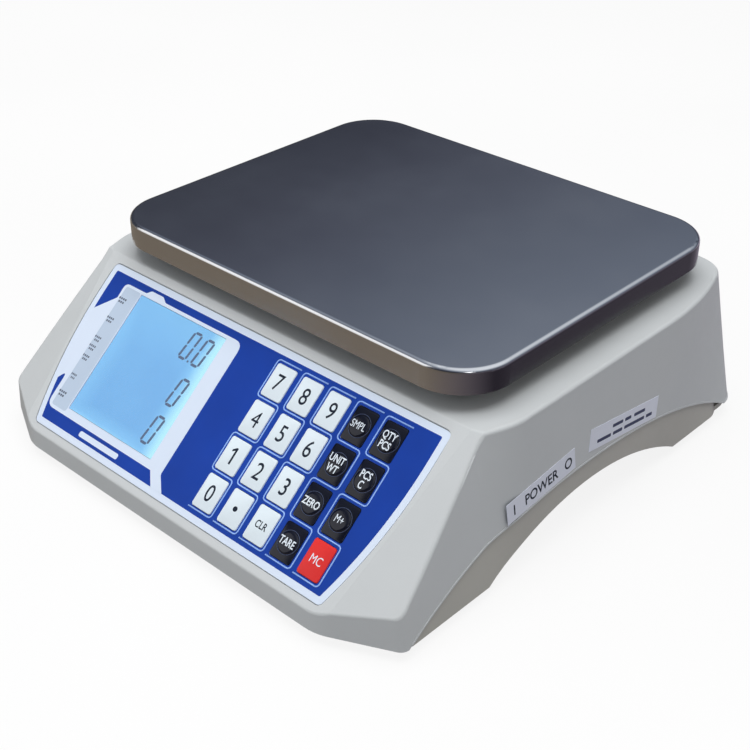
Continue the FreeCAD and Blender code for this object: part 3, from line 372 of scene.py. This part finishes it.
# ------------------------------------------------------------------ keypad layout
KEY_WIDTH = 14.6
KEY_HEIGHT = 19.6
KEY_PITCH = 19.95
ROW_PITCH = 22.96
FIRST_COLUMN = 23.45
FIRST_ROW = 14.5
KEY_PROUD = 0.35
LEGENDS = [
    [("7", "key_7"), ("8", "key_8"), ("9", "key_9"), ("SMPL", "key_sample"),
     ("QTY\nPCS", "key_quantity")],
    [("4", "key_4"), ("5", "key_5"), ("6", "key_6"), ("UNIT\nWT", "key_unit_weight"),
     ("PCS\nC", "key_piece_count")],
    [("1", "key_1"), ("2", "key_2"), ("3", "key_3"), ("ZERO", "key_zero"),
     ("M+", "key_memory_add")],
    [("0", "key_0"), (".", "key_point"), ("CLR", "key_clear"), ("TARE", "key_tare"),
     ("MC", "key_memory_clear")],
]


def key_centre(row, column):
    return FIRST_COLUMN + column * KEY_PITCH, FIRST_ROW + row * ROW_PITCH


def key_rectangle(row, column, grow):
    across, down = key_centre(row, column)
    return rectangle(across - KEY_WIDTH / 2 - grow, across + KEY_WIDTH / 2 + grow,
                     down - KEY_HEIGHT / 2 - grow, down + KEY_HEIGHT / 2 + grow)


# ------------------------------------------------------------------ printed overlay
BLUE_HALF = 128.9
BLUE_LENGTH = 97.5
BEND_START = 12
BEND_RADIUS = 281
WINDOW_LEFT = -100.5
WINDOW_RIGHT = -25.2
WINDOW_TOP = 6.4
WINDOW_BOTTOM = 85.2
# heights off the panel plane: the sheet, then each layer of print on the one below
SHEET_BOTTOM = -1.0
SHEET_TOP = -0.25
BLUE_TOP = -0.18
PALE_TOP = -0.12
STRIP_TOP = -0.1
MARK_TOP = -0.08


def window_outline(inset=0.0, corner=0.6):
    """The edge of the opening over the display, or of a pane that fits inside it."""
    return rounded(rectangle(WINDOW_LEFT + inset, WINDOW_RIGHT - inset, WINDOW_TOP + inset,
                             WINDOW_BOTTOM - inset), corner)


def print_layer(name, outlines, low, high, material):
    """A layer of print: a flat plate in panel coordinates."""
    layer = plate(name, outlines, low, high, material)
    return layer


def half_width(down):
    """Half the width of the blue print: straight at first, then bending gently inwards."""
    past = max(0, down - BEND_START)
    return BLUE_HALF - (BEND_RADIUS - math.sqrt(BEND_RADIUS ** 2 - past ** 2))


def panel_outline(grow, corner_radius):
    """The outline of the blue print, grown on every side, with rounded corners."""
    levels = [BEND_START + (BLUE_LENGTH + grow - BEND_START) * k / 12 for k in range(13)]
    right = [(half_width(-grow) + grow, -grow, corner_radius)]
    right += [(half_width(down) + grow, down, 0) for down in levels[:-1]]
    right.append((half_width(levels[-1]) + grow, levels[-1], corner_radius))
    left = [(-x, down, bend) for x, down, bend in reversed(right)]
    return rounded(right + left, 0)


def make_overlay():
    """The overlay sheet: a white film, and the blue print laid on it."""
    white_edge = 3.9
    key_gap = 0.25
    holes = [window_outline()]
    for row, entries in enumerate(LEGENDS):
        for column in range(len(entries)):
            holes.append(rounded(key_rectangle(row, column, key_gap), 1.8))
    sheet = print_layer("overlay_sheet", [panel_outline(white_edge, 3.4)] + holes, SHEET_BOTTOM,
                        SHEET_TOP, WHITE_FILM)
    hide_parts("front_overlay")
    print_layer("overlay_blue_print", [panel_outline(0, 1.0)] + holes, SHEET_TOP, BLUE_TOP,
                BLUE_FILM)


make_overlay()


def make_display_surround():
    """The pale area around the display, with a lobe on its left and a lip at its top."""
    right, top, bottom, tail = -13.1, 4.4, 90, 97.6
    top_lip = [(-97.5, top, 2), (-94.5, 1.8, 2), (-84, 1.8, 2), (-80, top, 3)]
    right_tail = [(right, 89, 3), (-5.3, tail, 0.3), (-14.6, tail, 0.3), (-21.2, bottom, 0.8)]
    # the lobe reaches the white edge and follows its bend
    left_lobe = [(-118, 67.0, 1.5)]
    left_lobe += [(-half_width(down) - 0.3, down, 0) for down in (73.5, 60, 48, 36, 27)]
    left_lobe.append((-116.3, 14.6, 2))
    rim = [(-116.8, top, 4)] + top_lip + [(right, top, 6)] + right_tail
    rim += [(-117.6, bottom, 6)] + left_lobe
    print_layer("display_surround", [rounded(rim, 1), window_outline()], BLUE_TOP, PALE_TOP,
                WHITE_FILM)


make_display_surround()


def make_marks():
    """Plain strokes where a scale's labels stand: none of them is lettering."""
    print_layer("label_strip", [rounded(rectangle(-114.6, -101.2, 6, 88), 2)], PALE_TOP, STRIP_TOP,
                SCALE_FILM)
    marks = ((14, 7), (27.5, 6.5), (41, 6), (47, 6), (54, 6), (67, 5), (79, 7))
    middle = -111.5
    line_pitch = 2.2
    half_stroke = 0.65
    gap = 0.45
    for number, (down, length) in enumerate(marks, start=1):
        for line in (0, 1):
            level = down - 0.2 + line_pitch * line
            left = middle - length / 2 + line
            for piece in range(4 - line):
                start = left + piece * length / 4
                stroke = rectangle(start, start + length / 4 - gap, level - half_stroke,
                                   level + half_stroke)
                print_layer(f"row_mark_{number}_{line + 1}_{piece + 1}", [rounded(stroke, 0.3)],
                            STRIP_TOP, MARK_TOP, MARK_INK)
    print_layer("maker_bar", [rounded(rectangle(-82, -47, 92.2, 95.6), 1.4)], BLUE_TOP, PALE_TOP,
                WHITE_FILM)


make_marks()


def polyline_ribbon(name, points, reach, low, high, material, body=SHELL):
    """A raised line along points in panel coordinates, with a rounded crown."""
    mesh = bpy.data.meshes.new(name)
    build = bmesh.new()
    shoulder = low + (high - low) * 0.75
    profile = [(-1, low), (-0.75, shoulder), (0, high), (0.75, shoulder), (1, low)]
    rows = []
    for index, point in enumerate(points):
        before = points[max(index - 1, 0)]
        after = points[min(index + 1, len(points) - 1)]
        way = (after - before).normalized()
        side = Vector((-way.y, way.x))
        row = []
        for across, out in profile:
            place = point + side * (reach * across)
            row.append(build.verts.new(panel_place(place.x, place.y, out)))
        rows.append(row)
    for first, second in zip(rows, rows[1:]):
        for index in range(len(profile) - 1):
            build.faces.new((first[index], first[index + 1], second[index + 1], second[index]))
        build.faces.new((first[-1], first[0], second[0], second[-1]))
    build.faces.new(rows[0])
    build.faces.new(rows[-1][::-1])
    bmesh.ops.recalc_face_normals(build, faces=build.faces)
    build.to_mesh(mesh)
    build.free()
    return new_object(name, mesh, material, body, smooth=True)


def open_rounded(corners, radius, steps=6):
    """An open line with its inner corners turned into arcs."""
    points = [Vector(corners[0])]
    for before, corner, after in zip(corners, corners[1:], corners[2:]):
        here = Vector(corner)
        start = here + (Vector(before) - here).normalized() * radius
        end = here + (Vector(after) - here).normalized() * radius
        for step in range(steps + 1):
            t = step / steps
            points.append(start * (1 - t) ** 2 + here * 2 * t * (1 - t) + end * t ** 2)
    points.append(Vector(corners[-1]))
    return points


def make_key_outlines():
    """One winding line for each column of keys: over, round and under each key in turn."""
    side_gap = 1.45
    below_gap = 1.4
    rows = len(LEGENDS)
    for column in range(len(LEGENDS[0])):
        across, down = key_centre(0, column)
        left = across - KEY_WIDTH / 2 - side_gap
        right = across + KEY_WIDTH / 2 + side_gap
        top = down - KEY_HEIGHT / 2 - (ROW_PITCH - KEY_HEIGHT - below_gap)
        corners = [(right, top)]
        for row in range(rows):
            level = top + row * ROW_PITCH
            side = right if row % 2 else left
            corners += [(side, level), (side, level + ROW_PITCH)]
        corners.append((left, top + rows * ROW_PITCH))
        line = polyline_ribbon(f"key_outline_{column + 1}", open_rounded(corners, 2.4), 0.42,
                               -0.2, 0.12, OUTLINE_INK)


make_key_outlines()


# ------------------------------------------------------------------ lettering
FRAIL = {"4", "M"}  # their notches close up when they are thickened


def text_mesh(text, size, thin=0.0, squeeze=1.0, line_gap=1.0, depth=0.02):
    """Flat lettering as a mesh in millimetres, centred on its own middle."""
    curve = bpy.data.curves.new("lettering", "FONT")
    curve.body = text
    curve.size = size
    curve.align_x = "CENTER"
    curve.space_line = line_gap
    curve.offset = 0 if set(text) & FRAIL else thin
    curve.extrude = depth
    curve.resolution_u = 6
    carrier = bpy.data.objects.new("lettering", curve)
    bpy.context.scene.collection.objects.link(carrier)
    graph = bpy.context.evaluated_depsgraph_get()
    mesh = bpy.data.meshes.new_from_object(carrier.evaluated_get(graph))
    bpy.data.objects.remove(carrier)
    bpy.data.curves.remove(curve)
    wide = [vertex.co.x for vertex in mesh.vertices]
    tall = [vertex.co.y for vertex in mesh.vertices]
    middle = Vector((min(wide) + max(wide), min(tall) + max(tall), 0)) / 2
    mesh.transform(Matrix.Translation(-middle))
    mesh.transform(Matrix.Diagonal((squeeze, 1, 1, 1)))
    mesh.materials.clear()
    return mesh


def legend_on_panel(name, mesh, across, down, out, material, body):
    """Lay lettering, made in millimetres, on the panel."""
    place = TO_PANEL @ Matrix.Translation((across * MM, -down * MM, out * MM))
    mesh.transform(place @ Matrix.Scale(MM, 4))
    return new_object(name, mesh, material, body)


# ------------------------------------------------------------------ keys
KEY_SKIRT = -3.5
DOME_STEPS = 48
# radius and height over the key's top face, from the foot of the dome to its crown
DOME_PROFILE = [(6.3, -0.1), (6.15, 0.25), (5.8, 0.62), (5.2, 0.86), (4.4, 0.97), (3.0, 1.05),
                (1.4, 1.1)]
RING_PROFILE = [(6.25, -0.05), (6.35, 0.14), (6.6, 0.14), (6.75, -0.05)]


def key_material(label):
    if label == "MC":
        return KEY_RED
    return KEY_WHITE if label in list("0123456789.") + ["CLR"] else KEY_BLACK


def join_rings(build, rings):
    """Faces between each ring of vertices and the next."""
    for first, second in zip(rings, rings[1:]):
        for index in range(len(first)):
            after = (index + 1) % len(first)
            build.faces.new((first[index], first[after], second[after], second[index]))


def turned_rings(build, row, column, profile):
    """Rings of vertices around a key's middle, one for each point of a profile."""
    across, down = key_centre(row, column)
    return [[build.verts.new(panel_place(x, y, KEY_PROUD + rise))
             for x, y in circle(across, down, radius, DOME_STEPS)] for radius, rise in profile]


def key_cap(name, row, column, domed, material):
    """A key cap with a softened rim; a function key carries a round dome."""
    mesh = bpy.data.meshes.new(name)
    build = bmesh.new()
    rings = []
    for shrink, out in ((0, KEY_SKIRT), (0, KEY_PROUD - 0.2), (0.06, KEY_PROUD - 0.08),
                        (0.2, KEY_PROUD)):
        outline = rounded(key_rectangle(row, column, -shrink), max(0.4, 1.7 - shrink), 6)
        rings.append([build.verts.new(panel_place(point.x, point.y, out)) for point in outline])
    join_rings(build, rings)
    build.faces.new(rings[-1])
    if domed:
        dome = turned_rings(build, row, column, DOME_PROFILE)
        join_rings(build, dome)
        build.faces.new(dome[-1])
    bmesh.ops.recalc_face_normals(build, faces=build.faces)
    build.to_mesh(mesh)
    build.free()
    cap = new_object(name + "_cap", mesh, material, name, smooth=True)
    sharp = cap.modifiers.new("creases", "EDGE_SPLIT")
    sharp.split_angle = math.radians(38)
    return cap


def dome_ring(name, row, column):
    """The fine raised ring around a function key's dome; its colour, lighter than the key, is a
    painted highlight.
    """
    mesh = bpy.data.meshes.new(name)
    build = bmesh.new()
    rings = turned_rings(build, row, column, RING_PROFILE)
    join_rings(build, rings + rings[:1])
    bmesh.ops.recalc_face_normals(build, faces=build.faces)
    build.to_mesh(mesh)
    build.free()
    new_object(name + "_ring", mesh, RING_PAINTED_HIGHLIGHT, name, smooth=True)


# a plain figure one with a flag, because the font's own has a foot
FIGURE_ONE = [(0.9, -4.9), (0.9, 4.9), (-0.4, 4.9), (-0.4, -3.1), (-2.4, -1.9), (-2.4, -3.2),
              (-0.2, -4.9)]
LEGEND_STYLES = {
    "CLR": {"size": 5.8, "thin": 0.09, "squeeze": 0.76},
    "MC": {"size": 6.6, "thin": 0.1, "squeeze": 0.84},
}
DIGIT_STYLE = {"size": 13.6, "thin": 0.05, "squeeze": 0.84}
WORD_STYLE = {"size": 5.9, "thin": 0.1, "squeeze": 0.74, "line_gap": 0.92}
INK_RISE = 0.03
DOME_LEGEND_RISE = 1.12


def legend_style(label):
    return DIGIT_STYLE if label.isdigit() else LEGEND_STYLES.get(label, WORD_STYLE)


def make_keys():
    for row, entries in enumerate(LEGENDS):
        for column, (label, node) in enumerate(entries):
            across, down = key_centre(row, column)
            material = key_material(label)
            dark = material is KEY_BLACK
            cap = key_cap(node, row, column, dark, material)
            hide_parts(node)
            if dark:
                dome_ring(node, row, column)
            if label in (".", "1"):
                outline = circle(across, down, 1.5, 20)
                if label == "1":
                    outline = [(across + x, down + y) for x, y in FIGURE_ONE]
                plate(node + "_legend", [outline], KEY_PROUD, KEY_PROUD + INK_RISE, DARK_INK, node)
                continue
            top = KEY_PROUD + (DOME_LEGEND_RISE if dark else 0.01)
            ink = WHITE_INK if dark or label == "MC" else DARK_INK
            legend_on_panel(node + "_legend", text_mesh(label, **legend_style(label)), across, down,
                            top, ink, node)


make_keys()


# ------------------------------------------------------------------ stickers on the right side
def sticker_frame(node):
    """A matrix from a sticker's own flat coordinates, in millimetres, to its outer face."""
    mesh = NODES[node].data
    out = max(mesh.polygons, key=lambda face: face.area).normal.copy()
    out = out if out.x > 0 else -out
    level = max(vertex.co.dot(out) for vertex in mesh.vertices)
    outer = [vertex.co for vertex in mesh.vertices if level - vertex.co.dot(out) < 1e-5]
    middle = (max(outer, key=lambda co: co.y + co.z) + min(outer, key=lambda co: co.y + co.z)) / 2
    front = [co for co in outer if co.y < middle.y]
    up = (max(front, key=lambda co: co.z) - min(front, key=lambda co: co.z)).normalized()
    along = up.cross(out)
    turn = Matrix((along, up, out)).transposed().to_4x4()
    return Matrix.Translation(middle) @ turn @ Matrix.Scale(MM, 4)


def make_sticker_marks():
    """Switch symbols on the front sticker, and plain strokes on the rear one."""
    to_front = sticker_frame("power_label")
    for number, (text, across, size) in enumerate((("I", -23, 9), ("POWER", 0, 8.8),
                                                   ("O", 23, 9)), start=1):
        mesh = text_mesh(text, size, thin=0.12, squeeze=0.92)
        mesh.transform(to_front @ Matrix.Translation((across, 0, 0.02)))
        new_object(f"switch_mark_{number}", mesh, DARK_INK)
    to_rear = sticker_frame("rating_label")

    def rear_place(across, down, out):
        return to_rear @ Vector((across, -down, out))

    for line, (level, strokes) in enumerate(((-2.2, ((-12, 10), (0, 6), (9, 11))),
                                             (2.6, ((-26, 13), (-11, 9), (0, 20), (22, 6))))):
        for number, (left, length) in enumerate(strokes, start=1):
            ring = rounded(rectangle(left, left + length, level - 1, level + 1), 0.5)
            plate(f"rating_stroke_{line + 1}_{number}", [ring], 0.01, 0.04, STICKER_INK,
                  place=rear_place)


make_sticker_marks()


# ------------------------------------------------------------------ display
def lcd_material():
    """The lit display: blue, paler and greener towards its right and lower edges."""
    made = Material("lcd_face", Roughness=0.45, Specular_IOR_Level=0.1)
    place = made.node("ShaderNodeSeparateXYZ")
    made.link(made.place, place.inputs["Vector"])
    right = made.spread(place.outputs["X"], 0, 1, -0.042, -0.025)
    low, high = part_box("display_glass")
    lower = made.spread(place.outputs["Z"], 0.9, 0, low.z + 0.002, low.z + 0.013)
    upper = made.spread(place.outputs["Z"], 0, 0.35, high.z - 0.02, high.z)
    left = made.spread(place.outputs["X"], 0.35, 0, -0.1, -0.085)
    total = None
    for part in (right, lower, upper, left):
        if total is None:
            total = part
            continue
        add = made.node("ShaderNodeMath", operation="MAXIMUM")
        made.link(total, add.inputs[0])
        made.link(part, add.inputs[1])
        total = add.outputs[0]
    wobble = made.node("ShaderNodeMath", operation="MULTIPLY_ADD")
    made.link(made.noise(35, 3), wobble.inputs[0])
    wobble.inputs[1].default_value = 0.25
    made.link(total, wobble.inputs[2])
    shade = made.ramp(wobble.outputs[0], [(0.1, srgb(92, 168, 226)), (0.5, srgb(110, 186, 236)),
                                          (1.0, srgb(172, 232, 250))])
    made.colour(shade)
    made.link(shade, made.shader.inputs["Emission Color"])
    made.shader.inputs["Emission Strength"].default_value = 0.2
    return made.data


SEGMENT_INK = printed_film("segment_ink", srgb(22, 74, 124), rough=0.5)


GLASS_BOTTOM = -3.3
GLASS_TOP = -0.55
COVER_BOTTOM = -0.45
COVER_TOP = -0.3


def digit_zero(name, left, top, height):
    """A seven-segment nought: six tapered bars, leaning to the right."""
    width = 7.4
    slant = 2.2
    stroke = 1.6
    gap = 0.25

    def lean(x, y):
        return (left + x + slant * (1 - y / height), top + y)

    half = stroke / 2
    middle = height / 2
    bars = []
    for x in (half, width - half):
        for y0, y1 in ((gap + half, middle - gap / 2), (middle + gap / 2, height - gap - half)):
            bars.append([(x, y0), (x + half, y0 + half), (x + half, y1 - half), (x, y1),
                         (x - half, y1 - half), (x - half, y0 + half)])
    for y in (half, height - half):
        x0, x1 = half + gap, width - half - gap
        bars.append([(x0, y), (x0 + half, y - half), (x1 - half, y - half), (x1, y),
                     (x1 - half, y + half), (x0 + half, y + half)])
    for number, bar in enumerate(bars, start=1):
        ring = [lean(x, y) for x, y in bar]
        plate(f"{name}_segment_{number}", [ring], GLASS_TOP, GLASS_TOP + INK_RISE, SEGMENT_INK)


def make_display():
    """The glass with its figures, and the clear window over it."""
    face = plate("lcd_glass", [window_outline(0.2, 0.5)], GLASS_BOTTOM, GLASS_TOP, lcd_material())
    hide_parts("display_glass")
    window = plate("clear_window", [window_outline(0.1, 0.5)], COVER_BOTTOM, COVER_TOP,
                   clear_film())
    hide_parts("display_window")
    digit_zero("digit_upper_left", -50.6, 10.4, 18.2)
    digit_zero("digit_upper_right", -39.6, 10.9, 18.2)
    digit_zero("digit_middle", -39.9, 36.8, 18.4)
    digit_zero("digit_lower", -40.7, 61.4, 18.6)
    plate("display_point", [circle(-41.3, 27.9, 0.7, 14)], GLASS_TOP, GLASS_TOP + INK_RISE,
          SEGMENT_INK)


make_display()


# ------------------------------------------------------------------ platter
def steel_material():
    """Polished stainless sheet with fine lines and wiping marks, and a painted reflection tone that
    darkens it down its skirt.

    The skirt's tone is a painted reflection: its colour runs from pale on the faces turned left to
    dark on those turned right.
    """
    made = Material("polished_steel", Metallic=1.0, Roughness=0.2)
    lines = made.noise(420, 2, 0.5, stretch=(0.02, 1, 1))
    wipe = made.noise(7, 4, 0.6)
    facing = made.node("ShaderNodeSeparateXYZ")
    made.link(made.node("ShaderNodeNewGeometry").outputs["Normal"], facing.inputs["Vector"])
    # painted reflection: the skirt's faces take their own colour, darker than the top
    skirt_reflection_mask = made.spread(facing.outputs["Z"], 1, 0, 0.15, 0.6)
    tone = made.ramp(wipe, [(0.3, srgb(240, 241, 244)), (0.7, srgb(250, 251, 253))])
    blend = made.node("ShaderNodeMix", data_type="RGBA")
    made.link(skirt_reflection_mask, blend.inputs["Factor"])
    made.link(tone, blend.inputs["A"])
    # painted reflection: the skirt's colour darkens on faces turned to the right
    painted_reflection_facing = made.spread(facing.outputs["X"], 0, 1, 0.1, 0.95)
    made.link(made.ramp(painted_reflection_facing, [(0, srgb(206, 202, 198)), (1, srgb(60, 58, 62))]),
              blend.inputs["B"])
    made.colour(blend.outputs["Result"])
    made.rough(made.spread(wipe, 0.12, 0.22))
    made.bump(lines, 0.0000012, 0.2)
    return made.data


paint_node("platter", steel_material())


# ------------------------------------------------------------------ floor, light and camera
def ray_choice(tree, kind, other, seen):
    """A mix of two shaders: the second is what rays of one kind meet."""
    paths = tree.nodes.new("ShaderNodeLightPath")
    choice = tree.nodes.new("ShaderNodeMixShader")
    tree.links.new(paths.outputs[kind], choice.inputs["Fac"])
    tree.links.new(other, choice.inputs[1])
    tree.links.new(seen, choice.inputs[2])
    return choice.outputs["Shader"]


def make_floor():
    """A pale sweep: bright to the eye, and a quieter grey in what it throws back."""
    made = Material("floor_paint", Roughness=0.9, Specular_IOR_Level=0.1)
    made.colour(made.ramp(made.noise(1.5, 3),
                          [(0.3, srgb(150, 150, 152)), (0.7, srgb(158, 158, 160))]))
    tree = made.tree
    paper = made.node("ShaderNodeBsdfDiffuse")
    paper.inputs["Color"].default_value = (0.9, 0.9, 0.9, 1)
    glow = made.node("ShaderNodeEmission")
    pale = made.ramp(made.noise(2, 2), [(0.3, (0.98, 0.98, 0.98, 1)), (0.7, (1, 1, 1, 1))])
    made.link(pale, glow.inputs["Color"])
    seen = made.node("ShaderNodeMixShader")
    seen.inputs["Fac"].default_value = 0.88
    made.link(paper.outputs["BSDF"], seen.inputs[1])
    made.link(glow.outputs["Emission"], seen.inputs[2])
    # a mirror meets a tone that runs from the far right to the near left
    nearness = made.node("ShaderNodeVectorMath", operation="DOT_PRODUCT")
    nearness.inputs[1].default_value = (-1, -1, 0)
    made.link(made.place, nearness.inputs[0])
    mirrored = made.node("ShaderNodeEmission")
    made.link(made.ramp(made.spread(nearness.outputs["Value"], 0, 1, -0.25, 0.3),
                        [(0.1, srgb(170, 162, 178)), (0.9, srgb(132, 124, 114))]),
              mirrored.inputs["Color"])
    thrown = ray_choice(tree, "Is Glossy Ray", made.shader.outputs["BSDF"],
                        mirrored.outputs["Emission"])
    whole = ray_choice(tree, "Is Camera Ray", thrown, seen.outputs["Shader"])
    tree.links.new(whole, tree.nodes["Material Output"].inputs["Surface"])
    mesh = bpy.data.meshes.new("floor")
    build = bmesh.new()
    bmesh.ops.create_grid(build, x_segments=2, y_segments=2, size=6)
    build.to_mesh(mesh)
    build.free()
    floor = bpy.data.objects.new("floor", mesh)
    bpy.context.scene.collection.objects.link(floor)
    mesh.materials.append(made.data)


def make_world():
    """A white room for the eye, even soft light, and a slate ceiling for mirrors."""
    world = bpy.data.worlds.new("room")
    bpy.context.scene.world = world
    world.use_nodes = True
    tree = world.node_tree
    soft = tree.nodes["Background"]
    soft.inputs["Color"].default_value = (1, 1, 1, 1)
    soft.inputs["Strength"].default_value = 0.35
    place = tree.nodes.new("ShaderNodeTexCoord")
    upwards = tree.nodes.new("ShaderNodeVectorMath")
    upwards.operation = "DOT_PRODUCT"
    upwards.inputs[1].default_value = (0.266, 0.248, 1)  # leans, so that a mirror sees a gradient
    tree.links.new(place.outputs["Generated"], upwards.inputs[0])
    ramp = tree.nodes.new("ShaderNodeValToRGB")
    stops = [(0.34, (52, 55, 64)), (0.38, (60, 62, 73)), (0.44, (77, 81, 94)),
             (0.54, (104, 112, 126)), (0.75, (150, 156, 166)), (0.95, (214, 218, 224))]
    while len(ramp.color_ramp.elements) < len(stops):
        ramp.color_ramp.elements.new(0.5)
    for element, (position, colour) in zip(ramp.color_ramp.elements, stops):
        element.position = position
        element.color = srgb(*colour)
    tree.links.new(upwards.outputs["Value"], ramp.inputs["Fac"])
    slate = tree.nodes.new("ShaderNodeBackground")
    tree.links.new(ramp.outputs["Color"], slate.inputs["Color"])
    white = tree.nodes.new("ShaderNodeBackground")
    white.inputs["Color"].default_value = (1, 1, 1, 1)
    thrown = ray_choice(tree, "Is Glossy Ray", soft.outputs["Background"],
                        slate.outputs["Background"])
    whole = ray_choice(tree, "Is Camera Ray", thrown, white.outputs["Background"])
    tree.links.new(whole, tree.nodes["World Output"].inputs["Surface"])


def area_light(name, place, target, size, power):
    """A square light of a size in metres and a power in watts, turned to its target."""
    data = bpy.data.lights.new(name, "AREA")
    data.size = size
    data.energy = power
    light = bpy.data.objects.new(name, data)
    light.location = place
    way = Vector(target) - Vector(place)
    light.rotation_euler = way.to_track_quat("-Z", "Y").to_euler()
    bpy.context.scene.collection.objects.link(light)
    return light


CAMERA_PLACE = Vector((0.4722, -0.5368, 0.4595))
CAMERA_AZIMUTH = math.radians(43.02)
CAMERA_ELEVATION = math.radians(31.97)
CAMERA_ROLL = math.radians(0.13)
SENSOR_WIDTH = 36
FOCAL_LENGTH = 63.96


def make_camera():
    data = bpy.data.cameras.new("camera")
    data.sensor_width = SENSOR_WIDTH
    data.lens = FOCAL_LENGTH
    data.clip_start = 0.01
    camera = bpy.data.objects.new("camera", data)
    turn = (Matrix.Rotation(CAMERA_AZIMUTH, 4, "Z")
            @ Matrix.Rotation(math.pi / 2 - CAMERA_ELEVATION, 4, "X")
            @ Matrix.Rotation(CAMERA_ROLL, 4, "Z"))
    camera.matrix_world = Matrix.Translation(CAMERA_PLACE) @ turn
    bpy.context.scene.collection.objects.link(camera)
    bpy.context.scene.camera = camera


make_floor()
make_world()
ceiling = area_light("ceiling_light", (0.18, -0.12, 2.2), (0, -0.05, 0.05), 1.8, 37)
ceiling.visible_glossy = False  # otherwise the platter is all white from above
area_light("front_light", (-1.22, -1.51, 0.85), (0, -0.05, 0.08), 1.7, 8)
area_light("side_light", (1.25, -0.85, 0.7), (0.1, -0.15, 0.06), 0.3, 0.9)
make_camera()
bpy.context.scene.view_settings.view_transform = "Standard"
